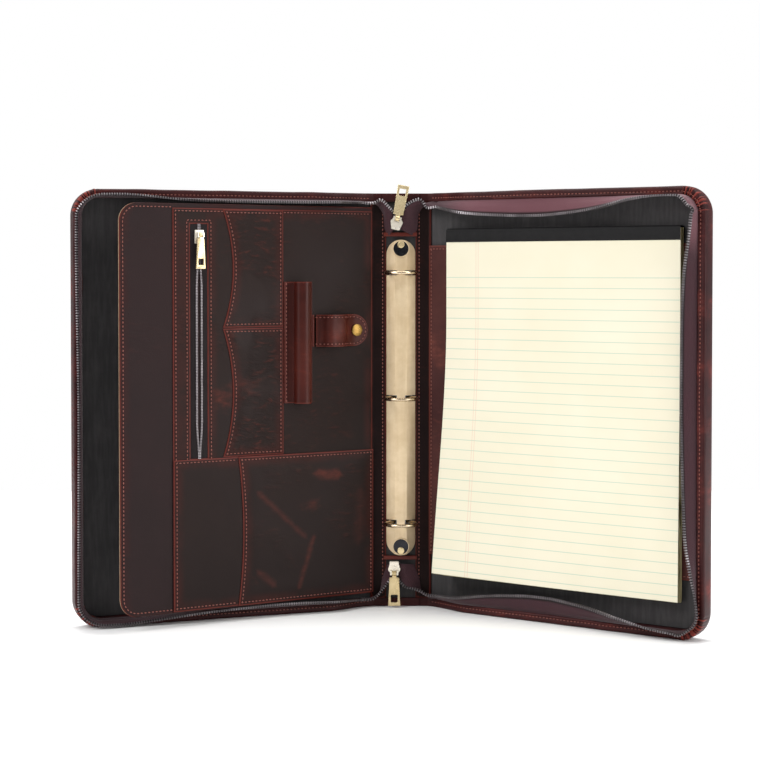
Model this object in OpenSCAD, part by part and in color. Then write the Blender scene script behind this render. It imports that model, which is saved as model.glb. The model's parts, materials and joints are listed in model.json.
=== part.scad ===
// Zip-around leather portfolio case with a ring binder, an organizer leaf and a writing pad.
// It stands open on its bottom edges. X runs to the right along the spine's face, Y away from
// the reader, Z up; the origin is the foot of the spine, on the face that the linings cover.
// Each cover, and the leaf, is drawn flat in its own frame and then swung to its angle:
// x runs from the hinge line outwards, z up, and height above the lining is -y.

/* [Case] */
// Height of the case
case_h = 358; // [340:1:375]
// Width of each cover from its hinge line to its outer edge
cover_w = 262; // [255:1:275]
// Distance between the two hinge lines
spine_w = 48; // [48:1:60]
// Angle that the left cover stands forward of flat
left_angle = 20; // [0:1:60]
// Angle that the right cover stands forward of flat
right_angle = 34; // [0:1:50]
// Radius of the covers' outer corners
corner_r = 22; // [16:1:30]

/* [Covers] */
// Thickness of the outer leather
leather_t = 1.6; // [1.2:0.1:2]
// Thickness of the stiffener boards
board_t = 2; // [1.5:0.1:2.5]
// Thickness of the lining cloth
lining_t = 0.8; // [0.5:0.1:1]
// Width of the turned leather rim round each cover
rim_w = 7; // [6:0.5:8]
// Height of the rim above the lining
rim_h = 12; // [10:0.5:13]
// Height of the zip tape's free edge above the lining
tape_h = 20; // [19:0.5:20.5]

/* [Organizer leaf] */
// Width of the leaf from its hinge line
leaf_w = 234; // [225:1:236]
// Height of the leaf
leaf_h = 334; // [325:1:336]
// Angle of the leaf above the left cover
leaf_lift = 10; // [4:1:10]
// Thickness of each pocket's leather
panel_t = 0.9; // [0.7:0.05:0.9]
// Width of the pocket panel
pocket_w = 188; // [175:1:190]
// Height of the lower pockets' top edge above the leaf's bottom
lower_pocket_h = 125; // [110:1:130]

/* [Pen loop and strap] */
// Inside radius of the pen loop
pen_r = 6.2; // [5:0.1:6.5]
// Length of the pen loop
pen_len = 102; // [80:1:110]
// Width of the cable strap
strap_w = 27; // [22:1:30]

/* [Ring mechanism] */
// Length of the mechanism's cover plate
plate_len = 273; // [270:1:276]
// Width of the mechanism's cover plate
plate_w = 25; // [24:0.5:26]
// Outside radius of the rings
ring_r = 15; // [13:0.5:15]
// Thickness of the ring wire
wire_d = 3; // [2.5:0.1:3.2]
// Distance from one ring to the next
ring_pitch = 108; // [106:1:108]

/* [Writing pad] */
// Width of the pad
pad_w = 216; // [205:1:216]
// Height of the pad
pad_h = 298; // [285:1:298]
// Thickness of the sheets together
pad_t = 5.6; // [3:0.1:5.6]

/* [Hidden] */

LEFT = -1;
RIGHT = 1;
hinge_x = spine_w / 2;
cover_back = lining_t + board_t + leather_t;    // from the lining's face to the outside
cover_start = 1.5;                              // gap from the hinge line to a cover's edge
rim_start = 10;
tape_start = 12;
tape_t = 1.2;
tape_root = 4;
teeth_w = 2.6;
teeth_h = 3.2;
arc_fn = 64;
eps = 0.01;

strip_in = 14.5;                                // hinge strips on the spine's face
strip_out = 23.5;
strip_t = 1.6;

plate_h = 7.2;
plate_edge_h = 2.6;
plate_top_w = 10;
plate_wall = 1;
plate_z = 181.5;                                // middle of the mechanism
slot_h = 4.4;
slot_in = 3.5;
rivet_inset = 4.2;
rivet_r = 1.5;
rivet_gap = 0.05;
blade_in = 0.3;
blade_out = 10;
blade_y = 1;
blade_t = 1.2;
blade_len = plate_len - 26;
socket_gap = 0.04;
socket_turn = 3;                                // how far a socket runs past its ring's foot
washer_r = 4.1;
washer_t = 0.8;
rivet_head_r = 3;
ring_gap = 0.6;                                 // half the gap between ring tips, in degrees
ring_foot = 69;                                 // where a ring meets its blade, in degrees

leaf_s = 1;                                     // leaf's hinge line in the left cover's frame
leaf_n = 1.8;
leaf_z = (case_h - leaf_h) / 2;
leaf_corner_r = 15;
leaf_back_t = 0.8;
leaf_board_t = 0.8;
leaf_face_t = 0.8;
face_n = leaf_face_t;                           // heights above the leaf's middle plane
panel_n = face_n + panel_t;
second_n = panel_n + panel_t;
third_n = second_n + panel_t;
pocket_z0 = leaf_z + 1.2;
pocket_z1 = leaf_z + leaf_h - 3.6;
lower_z = leaf_z + lower_pocket_h;
window_s = 157.2;
window_w = 15.5;
window_z0 = lower_z + 0.5;
window_z1 = 329.5;
zip_s = 165;
card_s = 88;
card_edge = 144;
card_dip = 9;
card_mid = 244;
phone_edge = 130.4;
phone_dip = 4.3;

pen_wall = 1.3;
pen_s = 73.2;
pen_z = 180;
pen_n = panel_n + pen_r + pen_wall;
pen_flange = 13;                                // half width of its sewn-down edges

strap_z = 240.5;
strap_s = 58;
strap_t = 1.4;
strap_end = 8;
strap_low = 3.9;
strap_high = 11.5;
snap_s = 19;
snap_r = 5.2;

slider_len = 13.5;
slider_w = 11;
pull_t = 1.4;
pin_r = 0.9;
pin_gap = 0.08;
top_slider_x = -5;
top_slider_z = 326.6;
top_slider_tilt = 11;
top_pull_lean = 4;
bottom_slider_x = -5.8;
bottom_slider_z = 39.4;
gusset_t = 1;
gusset_n = strip_t + gusset_t;
gusset_in = 14.8;                               // half width of a gusset at its slider
end_strip_t = 1.2;
end_strip_h = 3.4;
top_strip_gap = 2.9;                            // from the plate's end to each leather strip
bottom_strip_gap = 0.8;
main_gap = 3;                                   // mouth between a slider's two plates
crown_t = 1;
crown_n = main_gap + 2 * crown_t;
pin_n = crown_n + 2.2;                          // height of a pull's pin above its slider's back
pin_at = 0.72;                                  // place of the pin along its slider
ear_t = 1.6;
ear_at = 0.27;                                  // place of the pin's ears across the slider
main_eye_w = slider_w * 2 * ear_at - ear_t - 0.6;
pocket_slider_z = 313.5;
pocket_slider_n = face_n + 1.5;
pocket_slider_len = 11;
pocket_pin_n = 3.3;
pocket_pin_z = 7.4;

band_gap = 1.2;
band_t = 1.4;
band_s = 2;
band_foot = 7;                                  // width of the band's sewn-down ends
band_z0 = 46;
band_z1 = case_h - 45;
pad_back_n = 0.2;
pad_s = 23.3;
pad_z = 28.6;
pad_back_t = 0.8;
pad_sheet_n = band_gap + band_t + 0.3;
pad_front_n = pad_sheet_n + pad_t;
binding_w = 11;
binding_t = 0.3;

// ---- Frames and outlines -------------------------------------------------------------------

function cover_angle(side) = side == LEFT ? left_angle : right_angle;

// Swings a flat cover to its angle; the left one is the right one's mirror image.
module on_cover(side) {
    translate([side * hinge_x, 0, 0]) rotate([0, 0, -side * cover_angle(side)])
        mirror([side == LEFT ? 1 : 0, 0, 0]) children();
}

// Swings the flat leaf to its angle above the left cover.
module on_leaf() {
    on_cover(LEFT) translate([leaf_s, -leaf_n, 0]) rotate([0, 0, -leaf_lift]) children();
}

// Stands a flat outline up, from one height above the lining to another.
module layer(n0, n1) {
    translate([0, -n0, 0]) rotate([90, 0, 0]) linear_extrude(n1 - n0) children();
}

// A panel with round corners at its outer edge only.
module page(x0, x1, z0, z1, r) {
    translate([x0, z0]) square([x1 - r - x0, z1 - z0]);
    translate([x1 - r - eps, z0 + r]) square([r + eps, z1 - z0 - 2 * r]);
    translate([x1 - r, z0 + r]) circle(r, $fn = arc_fn);
    translate([x1 - r, z1 - r]) circle(r, $fn = arc_fn);
}

// The cover's outline drawn in from its edge by a distance, starting at x0.
module cover_page(x0, inset) {
    page(x0, cover_w - inset, inset, case_h - inset, corner_r - inset);
}

// A frame that follows the cover's edge on three sides, between two distances from it.
module edge_frame(x0, inset0, inset1) {
    difference() {
        cover_page(x0, inset0);
        cover_page(x0 - 5, inset1);
    }
}

// A box from one corner to the other.
module block(a, b) {
    translate(a) cube(b - a);
}

// ---- Covers ----------------------------------------------------------------------------------

module cover_leather(side) {
    color("#5a2526") on_cover(side) layer(-cover_back, -cover_back + leather_t)
        cover_page(cover_start, 0);
}

module cover_board(side) {
    color("#8d7a63") on_cover(side) layer(-lining_t - board_t, -lining_t)
        page(cover_start, cover_w - rim_w, rim_w, case_h - rim_w, corner_r - rim_w);
}

module cover_lining(side) {
    color("#1c1b1d") on_cover(side) layer(-lining_t, 0)
        page(cover_start, cover_w - rim_w, rim_w, case_h - rim_w, corner_r - rim_w);
}

module cover_rim(side) {
    color("#642c2d") on_cover(side) layer(-lining_t - board_t, rim_h)
        edge_frame(rim_start, 0, rim_w);
}

module zip_tape(side) {
    color("#4a2f36") on_cover(side) layer(tape_root, tape_h)
        edge_frame(tape_start, rim_w, rim_w + tape_t);
}

module zip_teeth(side) {
    color("#4b474b") on_cover(side) layer(tape_h, tape_h + teeth_h)
        edge_frame(tape_start, rim_w + tape_t / 2 - teeth_w / 2, rim_w + tape_t / 2 + teeth_w / 2);
}

// ---- Spine -----------------------------------------------------------------------------------

module spine_slab(half_w, y0, y1, lift) {
    block([-half_w, y0, lift], [half_w, y1, case_h - lift]);
}

module spine_leather() {
    color("#5a2526") spine_slab(23.2, lining_t + board_t, cover_back, 0);
}

module spine_board() {
    color("#8d7a63") spine_slab(22, lining_t, lining_t + board_t, 1);
}

module spine_lining() {
    color("#1c1b1d") spine_slab(22.8, 0, lining_t, 0);
}

module hinge_strip(side) {
    color("#4b2424") mirror([side == LEFT ? 1 : 0, 0, 0])
        block([strip_in, -strip_t, 1], [strip_out, 0, case_h - 1]);
}

// The tape ends come together here and are sewn to the hinge strips.
module zip_gusset(outer_z, inner_z, outer_x, inner_x, middle_x) {
    color("#4a2f36") layer(strip_t, gusset_n) polygon([
        [middle_x - outer_x, outer_z], [middle_x + outer_x, outer_z],
        [middle_x + inner_x, inner_z], [middle_x - inner_x, inner_z]
    ]);
}

module top_zip_gusset() {
    zip_gusset(case_h - 12, plate_z + plate_len / 2 + top_strip_gap, 18.5, gusset_in, -1);
}

module bottom_zip_gusset() {
    zip_gusset(2, bottom_slider_z - 2.9, 20, gusset_in, 0);
}

// A leather strip across the ends of the tapes, between a slider and the plate.
module end_strip(z0) {
    color("#4b2424") block([-15, -gusset_n - end_strip_t, z0], [14, -gusset_n, z0 + end_strip_h]);
}

module top_end_strip() {
    end_strip(plate_z + plate_len / 2 + top_strip_gap);
}

module bottom_end_strip() {
    end_strip(plate_z - plate_len / 2 - bottom_strip_gap - end_strip_h);
}

// ---- Ring mechanism ----------------------------------------------------------------------------

// Section of the folded cover plate, drawn in by the thickness of its wall.
module plate_section(inset) {
    half = plate_w / 2 - inset;
    top = plate_top_w / 2 - inset * 0.3;
    polygon([
        [-half, eps * sign(inset)], [-half, -plate_edge_h + inset * 0.9], [-top, -plate_h + inset],
        [top, -plate_h + inset], [half, -plate_edge_h + inset * 0.9], [half, eps * sign(inset)]
    ]);
}

module plate_outline() {
    end = plate_len / 2 - plate_w / 2;
    square([plate_w, 2 * end], center = true);
    for (k = [-1, 1]) translate([0, k * end]) circle(plate_w / 2, $fn = arc_fn);
}

module at_rings() {
    for (k = [-1:1]) translate([0, 0, plate_z + k * ring_pitch]) children();
}

module ring_cover_plate() {
    color("#a8967a") difference() {
        intersection() {
            translate([0, 0, plate_z - plate_len / 2]) linear_extrude(plate_len) difference() {
                plate_section(0);
                plate_section(plate_wall);
            }
            translate([0, 1, plate_z]) rotate([90, 0, 0]) linear_extrude(plate_h + 2)
                plate_outline();
        }
        at_rings() for (k = [-1, 1]) mirror([k < 0 ? 1 : 0, 0, 0])
            block([slot_in, -plate_h - 1, -slot_h / 2], [plate_w / 2 + 1, 1, slot_h / 2]);
        at_plate_ends() rotate([90, 0, 0])
            cylinder(r = rivet_r + rivet_gap, h = plate_h + 2, $fn = arc_fn);
    }
}

module at_plate_ends() {
    for (k = [-1, 1]) translate([0, 0, plate_z + k * (plate_len / 2 - rivet_inset)]) children();
}

module plate_end_washers() {
    color("#3c3b3d") at_plate_ends() translate([0, -plate_h, 0]) rotate([90, 0, 0])
        difference() {
            cylinder(r = washer_r, h = washer_t, $fn = arc_fn);
            translate([0, 0, -1]) cylinder(r = rivet_r + rivet_gap, h = 3, $fn = arc_fn);
        }
}

module plate_rivets() {
    color("#b08d4f") at_plate_ends() rotate([90, 0, 0]) {
        cylinder(r = rivet_r, h = plate_h + washer_t + 0.6, $fn = arc_fn);
        translate([0, 0, plate_h + washer_t]) cylinder(r = rivet_head_r, h = washer_t, $fn = arc_fn);
    }
}

// Three half circles of round wire, from each ring's tip at the front round to its foot.
module half_circles(thickness, past_foot) {
    at_rings() translate([0, -ring_r, 0]) rotate([0, 0, -90 + ring_gap])
        rotate_extrude(angle = 90 - ring_gap + ring_foot + past_foot, $fn = arc_fn)
            translate([ring_r - wire_d / 2, 0]) circle(thickness / 2, $fn = 32);
}

module half_rings(side) {
    color("#a08d70") mirror([side == LEFT ? 1 : 0, 0, 0]) half_circles(wire_d, 0);
}

// A spring blade under the plate, with a socket for the foot of each half ring.
module ring_blade(side) {
    color("#8f8f92") mirror([side == LEFT ? 1 : 0, 0, 0]) difference() {
        block([blade_in, -blade_y - blade_t, plate_z - blade_len / 2],
              [blade_out, -blade_y, plate_z + blade_len / 2]);
        half_circles(wire_d + 2 * socket_gap, socket_turn);
    }
}

// ---- Zip sliders and pulls -----------------------------------------------------------------------

// A main slider with its back at y = 0: its mouth is at z = 0, its waisted end points up, and two
// ears on its crown hold the pull's pin.
module slider_body() {
    difference() {
        union() {
            block([-slider_w / 2, -crown_t, 0], [slider_w / 2, 0, slider_len]);
            block([-slider_w / 2, -crown_n, 0], [slider_w / 2, -main_gap - crown_t, slider_len]);
            block([-crown_t, -crown_n + crown_t / 2, slider_len - 3.5],
                  [crown_t, -crown_t / 2, slider_len - 0.5]);
        }
        for (k = [-1, 1]) translate([k * slider_w * 0.62, 1, slider_len]) rotate([90, 0, 0])
            cylinder(r = slider_w * 0.26, h = crown_n + 2, $fn = arc_fn);
    }
    for (k = [-1, 1]) translate([k * slider_w * ear_at, 0, 0])
        block([-ear_t / 2, -pin_n - 1.4, slider_len * 0.42],
              [ear_t / 2, -crown_n + crown_t / 2, slider_len * 0.9]);
    translate([-slider_w * ear_at - ear_t / 2, -pin_n, slider_len * pin_at]) rotate([0, 90, 0])
        cylinder(r = pin_r, h = 2 * slider_w * ear_at + ear_t, $fn = 32);
}

// A pull tab that hangs down from its eye, which is centred at the origin.
// w0 and w1 are its widths near the eye and at its free end, which has a square hole.
module pull_tab(len, w0, w1, eye_w) {
    rotate([90, 0, 0]) translate([0, 0, -pull_t / 2]) linear_extrude(pull_t) difference() {
        polygon([[-w0 / 2, -3.4], [w0 / 2, -3.4], [w1 / 2, -len], [-w1 / 2, -len]]);
        translate([-w1 * 0.28, -len + 3]) square([w1 * 0.56, w1 * 0.62]);
    }
    difference() {
        union() {
            rotate([0, 90, 0]) cylinder(r = 2.1, h = eye_w, center = true, $fn = 32);
            block([-eye_w / 2, -pull_t / 2, -3.8], [eye_w / 2, pull_t / 2, -1.6]);
        }
        rotate([0, 90, 0]) cylinder(r = pin_r + pin_gap, h = eye_w + 2, center = true, $fn = 32);
    }
}

module on_top_slider() {
    translate([top_slider_x, -gusset_n, top_slider_z]) rotate([0, top_slider_tilt, 0]) children();
}

module on_bottom_slider() {
    translate([bottom_slider_x, -gusset_n, bottom_slider_z]) rotate([0, 180, 0]) children();
}

module top_slider() {
    color("#9a958a") on_top_slider() slider_body();
}

module bottom_slider() {
    color("#b9b5ac") on_bottom_slider() slider_body();
}

// The top tab stands up over the edge of the case and leans back on it a little.
module top_pull() {
    color("#b19765") on_top_slider() translate([0, -pin_n, slider_len * pin_at])
        rotate([180 - top_pull_lean, 0, 0]) pull_tab(29, 8.6, 10, main_eye_w);
}

module bottom_pull() {
    color("#b19765") on_bottom_slider() translate([0, -pin_n, slider_len * pin_at])
        rotate([180, 0, 0]) pull_tab(28, 8.2, 10.6, main_eye_w);
}

// ---- Organizer leaf --------------------------------------------------------------------------------

module leaf_page() {
    page(cover_start, leaf_w, leaf_z, leaf_z + leaf_h, leaf_corner_r);
}

module leaf_back() {
    color("#4b2424") on_leaf() layer(-leaf_board_t - leaf_back_t, -leaf_board_t) leaf_page();
}

module leaf_board() {
    color("#8d7a63") on_leaf() layer(-leaf_board_t, 0) leaf_page();
}

module leaf_face() {
    color("#2f2122") on_leaf() layer(0, face_n) leaf_page();
}

module pocket_panel() {
    color("#33211f") on_leaf() layer(face_n, panel_n) difference() {
        translate([cover_start, pocket_z0]) square([pocket_w - cover_start, pocket_z1 - pocket_z0]);
        translate([window_s, window_z0]) square([window_w, window_z1 - window_z0]);
    }
}

module pocket_zip_tape() {
    color("#4a2f36") on_leaf() layer(face_n, face_n + 0.5)
        translate([window_s, window_z0]) square([window_w, window_z1 - window_z0]);
}

module pocket_zip_teeth() {
    color("#4b474b") on_leaf() layer(face_n + 0.5, face_n + 1.4)
        translate([zip_s - 1.6, window_z0]) square([3.2, window_z1 - window_z0]);
}

// Radius of an arc that dips by a depth over an opening, and clears the corners a little.
function dip_radius(length, dip) = (pow(length + 3, 2) / 4 + dip * dip) / (2 * dip);

// A card pocket: its open side, away from the hinge, dips in along an arc.
module card_pocket(z0, z1) {
    r = dip_radius(z1 - z0, card_dip);
    color("#3a2523") on_leaf() layer(panel_n, second_n) difference() {
        translate([card_s, z0]) square([card_edge - card_s, z1 - z0]);
        translate([card_edge - card_dip + r, (z0 + z1) / 2]) circle(r, $fn = 180);
    }
}

module upper_card_pocket() {
    card_pocket(card_mid + 0.4, pocket_z1 - 0.6);
}

module lower_card_pocket() {
    card_pocket(lower_z + 0.5, card_mid - 0.4);
}

module lower_panel() {
    color("#33211f") on_leaf() layer(panel_n, second_n)
        translate([cover_start, pocket_z0]) square([pocket_w - cover_start, lower_z - pocket_z0]);
}

module phone_pocket() {
    r = dip_radius(lower_z - pocket_z0, phone_dip);
    color("#3a2523") on_leaf() layer(second_n, third_n) difference() {
        translate([cover_start, pocket_z0]) square([phone_edge - cover_start, lower_z - pocket_z0]);
        translate([phone_edge - phone_dip + r, (pocket_z0 + lower_z) / 2]) circle(r, $fn = 240);
    }
}

module pen_loop() {
    color("#5e2a26") on_leaf() difference() {
        union() {
            translate([pen_s, -pen_n, pen_z]) cylinder(r = pen_r + pen_wall, h = pen_len, $fn = arc_fn);
            block([pen_s - pen_flange + 0.8, -panel_n - 1.1, pen_z],
                  [pen_s + pen_flange + 0.8, -panel_n, pen_z + pen_len]);
        }
        translate([pen_s, -pen_n, pen_z - 1]) cylinder(r = pen_r, h = pen_len + 2, $fn = arc_fn);
    }
}

module strap_tab() {
    color("#5e2a26") on_leaf() block([strap_s + 0.4, -panel_n - 1, strap_z - strap_w / 2],
                                     [60.6, -panel_n, strap_z + strap_w / 2]);
}

module snap_stud() {
    color("#b08d4f") on_leaf() translate([snap_s, -panel_n, strap_z]) rotate([90, 0, 0]) {
        cylinder(r = 4.6, h = 0.8, $fn = arc_fn);
        cylinder(r = 2, h = strap_low - panel_n - 0.3, $fn = arc_fn);
    }
}

// The strap's side view: from its root it rises over the bundle that it holds, then lies flat.
module strap_profile() {
    rise = [[strap_s, strap_low - 0.6], [48, strap_high], [34, strap_high], [27, strap_low]];
    polygon(concat(
        [for (p = rise) [p[0], -p[1]]], [[strap_end, -strap_low], [strap_end, -strap_low - strap_t]],
        [[26.4, -strap_low - strap_t], [33.4, -strap_high - strap_t], [48.6, -strap_high - strap_t],
         [strap_s, -strap_low - 0.6 - strap_t]]
    ));
}

module cable_strap() {
    color("#6a2d26") on_leaf() intersection() {
        translate([0, 0, strap_z - strap_w / 2]) linear_extrude(strap_w) strap_profile();
        layer(0, 20) {
            translate([strap_end + strap_w / 2, strap_z]) circle(strap_w / 2, $fn = arc_fn);
            translate([strap_end + strap_w / 2, strap_z - strap_w / 2]) square([60, strap_w]);
        }
    }
}

module snap_cap() {
    color("#b08d4f") on_leaf() translate([snap_s, -strap_low - strap_t, strap_z])
        rotate([90, 0, 0]) {
            cylinder(r = snap_r, h = 0.8, $fn = arc_fn);
            cylinder(r = snap_r - 1.2, h = 1.5, $fn = arc_fn);
        }
}

// The pocket's slider rides over the teeth on two side lips.
module pocket_slider() {
    color("#a9a9a9") on_leaf() translate([zip_s, -pocket_slider_n, pocket_slider_z]) {
        block([-3.8, -1, 0], [3.8, 0, pocket_slider_len]);
        for (k = [-1, 1]) translate([k * 3, 0, 0]) block([-0.8, -0.5, 0], [0.8, 0.6, pocket_slider_len]);
        for (k = [-1, 1]) translate([k * 2.3, 0, 0])
            block([-0.6, -pocket_pin_n - 1, 5], [0.6, -0.5, 9]);
        translate([-2.9, -pocket_pin_n, pocket_pin_z]) rotate([0, 90, 0])
            cylinder(r = pin_r, h = 5.8, $fn = 32);
    }
}

module pocket_pull() {
    color("#b19765") on_leaf()
        translate([zip_s, -pocket_slider_n - pocket_pin_n, pocket_slider_z + pocket_pin_z])
            pull_tab(28, 6, 8.4, 3.2);
}

// ---- Writing pad ------------------------------------------------------------------------------------

// A leather band across the right cover; the pad's back slips behind it.
module pad_band() {
    x1 = cover_w - rim_w - band_s;
    color("#4a2b29") on_cover(RIGHT) {
        block([band_s, -band_gap - band_t, band_z0], [x1, -band_gap, band_z1]);
        block([band_s, -band_gap - eps, band_z0], [band_s + band_foot, 0, band_z1]);
        block([x1 - band_foot, -band_gap - eps, band_z0], [x1, 0, band_z1]);
    }
}

module pad_back() {
    color("#8a7a66") on_cover(RIGHT)
        block([pad_s + 1, -pad_back_n - pad_back_t, pad_z + 8],
              [pad_s + pad_w - 1, -pad_back_n, pad_z + pad_h - 1]);
}

module pad_sheets() {
    color("#f7ecc4") on_cover(RIGHT) block([pad_s, -pad_front_n, pad_z],
                                           [pad_s + pad_w, -pad_sheet_n, pad_z + pad_h]);
}

// The binding wraps over the top edge and holds the sheets to the back.
module pad_binding() {
    top = pad_z + pad_h;
    color("#1d1c1e") on_cover(RIGHT) {
        block([pad_s, -pad_front_n - binding_t, top - binding_w], [pad_s + pad_w, -pad_front_n, top]);
        block([pad_s, -pad_front_n - binding_t, top], [pad_s + pad_w, -pad_back_n, top + binding_t]);
        block([pad_s, -pad_sheet_n, top - binding_w],
              [pad_s + pad_w, -pad_back_n - pad_back_t, top + eps]);
    }
}

spine_leather();
spine_board();
spine_lining();
hinge_strip(LEFT);  // left_hinge_strip
hinge_strip(RIGHT);  // right_hinge_strip
ring_cover_plate();
plate_end_washers();
plate_rivets();
top_end_strip();
bottom_end_strip();
top_zip_gusset();
bottom_zip_gusset();
top_slider();
bottom_slider();
ring_blade(LEFT);  // left_ring_blade
half_rings(LEFT);  // left_half_rings
ring_blade(RIGHT);  // right_ring_blade
half_rings(RIGHT);  // right_half_rings
cover_leather(LEFT);  // left_cover_leather
cover_board(LEFT);  // left_cover_board
cover_lining(LEFT);  // left_cover_lining
cover_rim(LEFT);  // left_rim
zip_tape(LEFT);  // left_zip_tape
zip_teeth(LEFT);  // left_zip_teeth
cover_leather(RIGHT);  // right_cover_leather
cover_board(RIGHT);  // right_cover_board
cover_lining(RIGHT);  // right_cover_lining
cover_rim(RIGHT);  // right_rim
zip_tape(RIGHT);  // right_zip_tape
zip_teeth(RIGHT);  // right_zip_teeth
pad_band();
leaf_back();
leaf_board();
leaf_face();
pocket_panel();
pocket_zip_tape();
pocket_zip_teeth();
upper_card_pocket();
lower_card_pocket();
lower_panel();
phone_pocket();
pen_loop();
strap_tab();
snap_stud();
cable_strap();
snap_cap();
pocket_slider();
pocket_pull();
top_pull();
bottom_pull();
pad_back();
pad_sheets();
pad_binding();
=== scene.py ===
"""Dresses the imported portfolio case: leather skins, linings, zips, pockets, paper and metal.

Lengths in this script are millimetres; meshes are written in metres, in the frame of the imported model.
A page is a flat board that stands on its edge: s runs out from its hinge line, n up from its face, z up.
"""
import json
import math

import bmesh
import bpy
import numpy as np
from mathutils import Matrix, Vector

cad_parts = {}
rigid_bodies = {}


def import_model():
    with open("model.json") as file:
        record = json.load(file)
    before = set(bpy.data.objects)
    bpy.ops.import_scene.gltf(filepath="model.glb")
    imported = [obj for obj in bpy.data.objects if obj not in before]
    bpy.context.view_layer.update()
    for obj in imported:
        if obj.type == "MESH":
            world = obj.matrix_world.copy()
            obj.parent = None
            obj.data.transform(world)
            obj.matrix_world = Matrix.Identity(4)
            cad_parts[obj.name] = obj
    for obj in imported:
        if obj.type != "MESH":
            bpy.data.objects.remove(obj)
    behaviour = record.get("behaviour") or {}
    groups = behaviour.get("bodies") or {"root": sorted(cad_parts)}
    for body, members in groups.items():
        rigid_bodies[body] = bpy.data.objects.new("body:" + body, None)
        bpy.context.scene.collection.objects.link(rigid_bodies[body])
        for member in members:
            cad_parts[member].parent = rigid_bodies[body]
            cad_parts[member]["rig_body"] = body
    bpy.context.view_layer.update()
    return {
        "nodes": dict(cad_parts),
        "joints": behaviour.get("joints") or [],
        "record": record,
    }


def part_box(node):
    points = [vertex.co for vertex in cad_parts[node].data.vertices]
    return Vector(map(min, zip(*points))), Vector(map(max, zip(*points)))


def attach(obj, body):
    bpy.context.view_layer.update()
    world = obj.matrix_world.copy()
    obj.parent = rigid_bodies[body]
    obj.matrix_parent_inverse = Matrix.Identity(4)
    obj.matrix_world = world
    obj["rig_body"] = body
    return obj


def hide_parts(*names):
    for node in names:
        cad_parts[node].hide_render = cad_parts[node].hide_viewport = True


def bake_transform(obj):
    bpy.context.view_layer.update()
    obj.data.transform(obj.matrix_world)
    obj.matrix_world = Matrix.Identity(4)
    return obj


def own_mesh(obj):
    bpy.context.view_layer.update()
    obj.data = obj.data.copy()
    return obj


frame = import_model()

MM = 0.001
JOINTS = {j["name"]: j for j in frame["joints"]}
MOUNTS = {m["name"]: m for m in frame["record"]["mounts"]}


# ---- Pages and sizes, read from the frame --------------------------------------------------------

class Page:
    """A standing page: its hinge line, the direction it runs in and the direction its face looks."""

    def __init__(self, origin, along, up, body):
        self.origin = np.array(origin[:2], float)
        self.along = np.array(along[:2], float)
        self.up = np.array(up[:2], float)
        self.body = body

    def at(self, s, n, z):
        """Points in the frame, in millimetres, for arrays of s, n and z."""
        s, n, z = np.broadcast_arrays(*(np.asarray(v, float) for v in (s, n, z)))
        xy = self.origin + s[..., None] * self.along + n[..., None] * self.up
        return np.concatenate([xy, z[..., None]], -1)

    def extent(self, node):
        """Lowest and highest (s, n, z) of a CAD node on this page."""
        co = np.array([v.co for v in frame["nodes"][node].data.vertices], float) / MM
        flat = co[:, :2] - self.origin
        local = np.stack([flat @ self.along, flat @ self.up, co[:, 2]], 1)
        return local.min(0), local.max(0)


def joint_point(name):
    return np.array(JOINTS[name]["pos_m"], float) / MM


def cover_page(side, body):
    up = -np.array(MOUNTS[body + "_back"]["axis"], float)
    along = (up[1], -up[0]) if side < 0 else (-up[1], up[0])
    return Page(joint_point(body + "_hinge"), along, up, body)


LEFT_SIDE, RIGHT_SIDE = -1, 1
LEFT = cover_page(LEFT_SIDE, "left_cover")
RIGHT = cover_page(RIGHT_SIDE, "right_cover")
SPINE = Page((0, 0), (1, 0), (0, -1), "spine")
leaf_angle = math.atan2(-LEFT.along[1], -LEFT.along[0]) + math.radians(JOINTS["leaf_hinge"]["range_deg"][1])
LEAF = Page(joint_point("leaf_hinge"), (-math.cos(leaf_angle), -math.sin(leaf_angle)),
            (math.sin(leaf_angle), -math.cos(leaf_angle)), "organizer_leaf")

COVER_W = LEFT.extent("left_cover_leather")[1][0]
CASE_H = LEFT.extent("left_cover_leather")[1][2]
HINGE_X = abs(LEFT.origin[0])
CORNER_R = 22
RIM_W = 7
RIM_H = LEFT.extent("left_rim")[1][1]


# ---- Small geometry helpers ----------------------------------------------------------------------

def smooth(x, a=0.0, b=1.0):
    t = np.clip((np.asarray(x, float) - a) / (b - a), 0, 1)
    return t * t * (3 - 2 * t)


def through(stations, values, x):
    """A smooth line through the values at the given stations."""
    stations, values = np.asarray(stations, float), np.asarray(values, float)
    slope = np.gradient(values, stations)
    x = np.clip(np.asarray(x, float), stations[0], stations[-1])
    i = np.clip(np.searchsorted(stations, x, side="right") - 1, 0, len(stations) - 2)
    h = stations[i + 1] - stations[i]
    t = (x - stations[i]) / h
    a, b = values[i], values[i + 1]
    return ((2 * t**3 - 3 * t**2 + 1) * a + (t**3 - 2 * t**2 + t) * h * slope[i]
            + (-2 * t**3 + 3 * t**2) * b + (t**3 - t**2) * h * slope[i + 1])


def curve_through(points, count):
    """Evenly spaced points on a smooth curve through a few given ones."""
    points = np.asarray(points, float)
    u = np.concatenate([[0], np.cumsum(np.linalg.norm(np.diff(points, axis=0), axis=1))])
    fine = np.linspace(0, u[-1], 20 * count)
    dense = np.stack([through(u, points[:, k], fine) for k in range(points.shape[1])], 1)
    length = np.concatenate([[0], np.cumsum(np.linalg.norm(np.diff(dense, axis=0), axis=1))])
    even = np.linspace(0, length[-1], count)
    return np.stack([np.interp(even, length, dense[:, k]) for k in range(points.shape[1])], 1)


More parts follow.
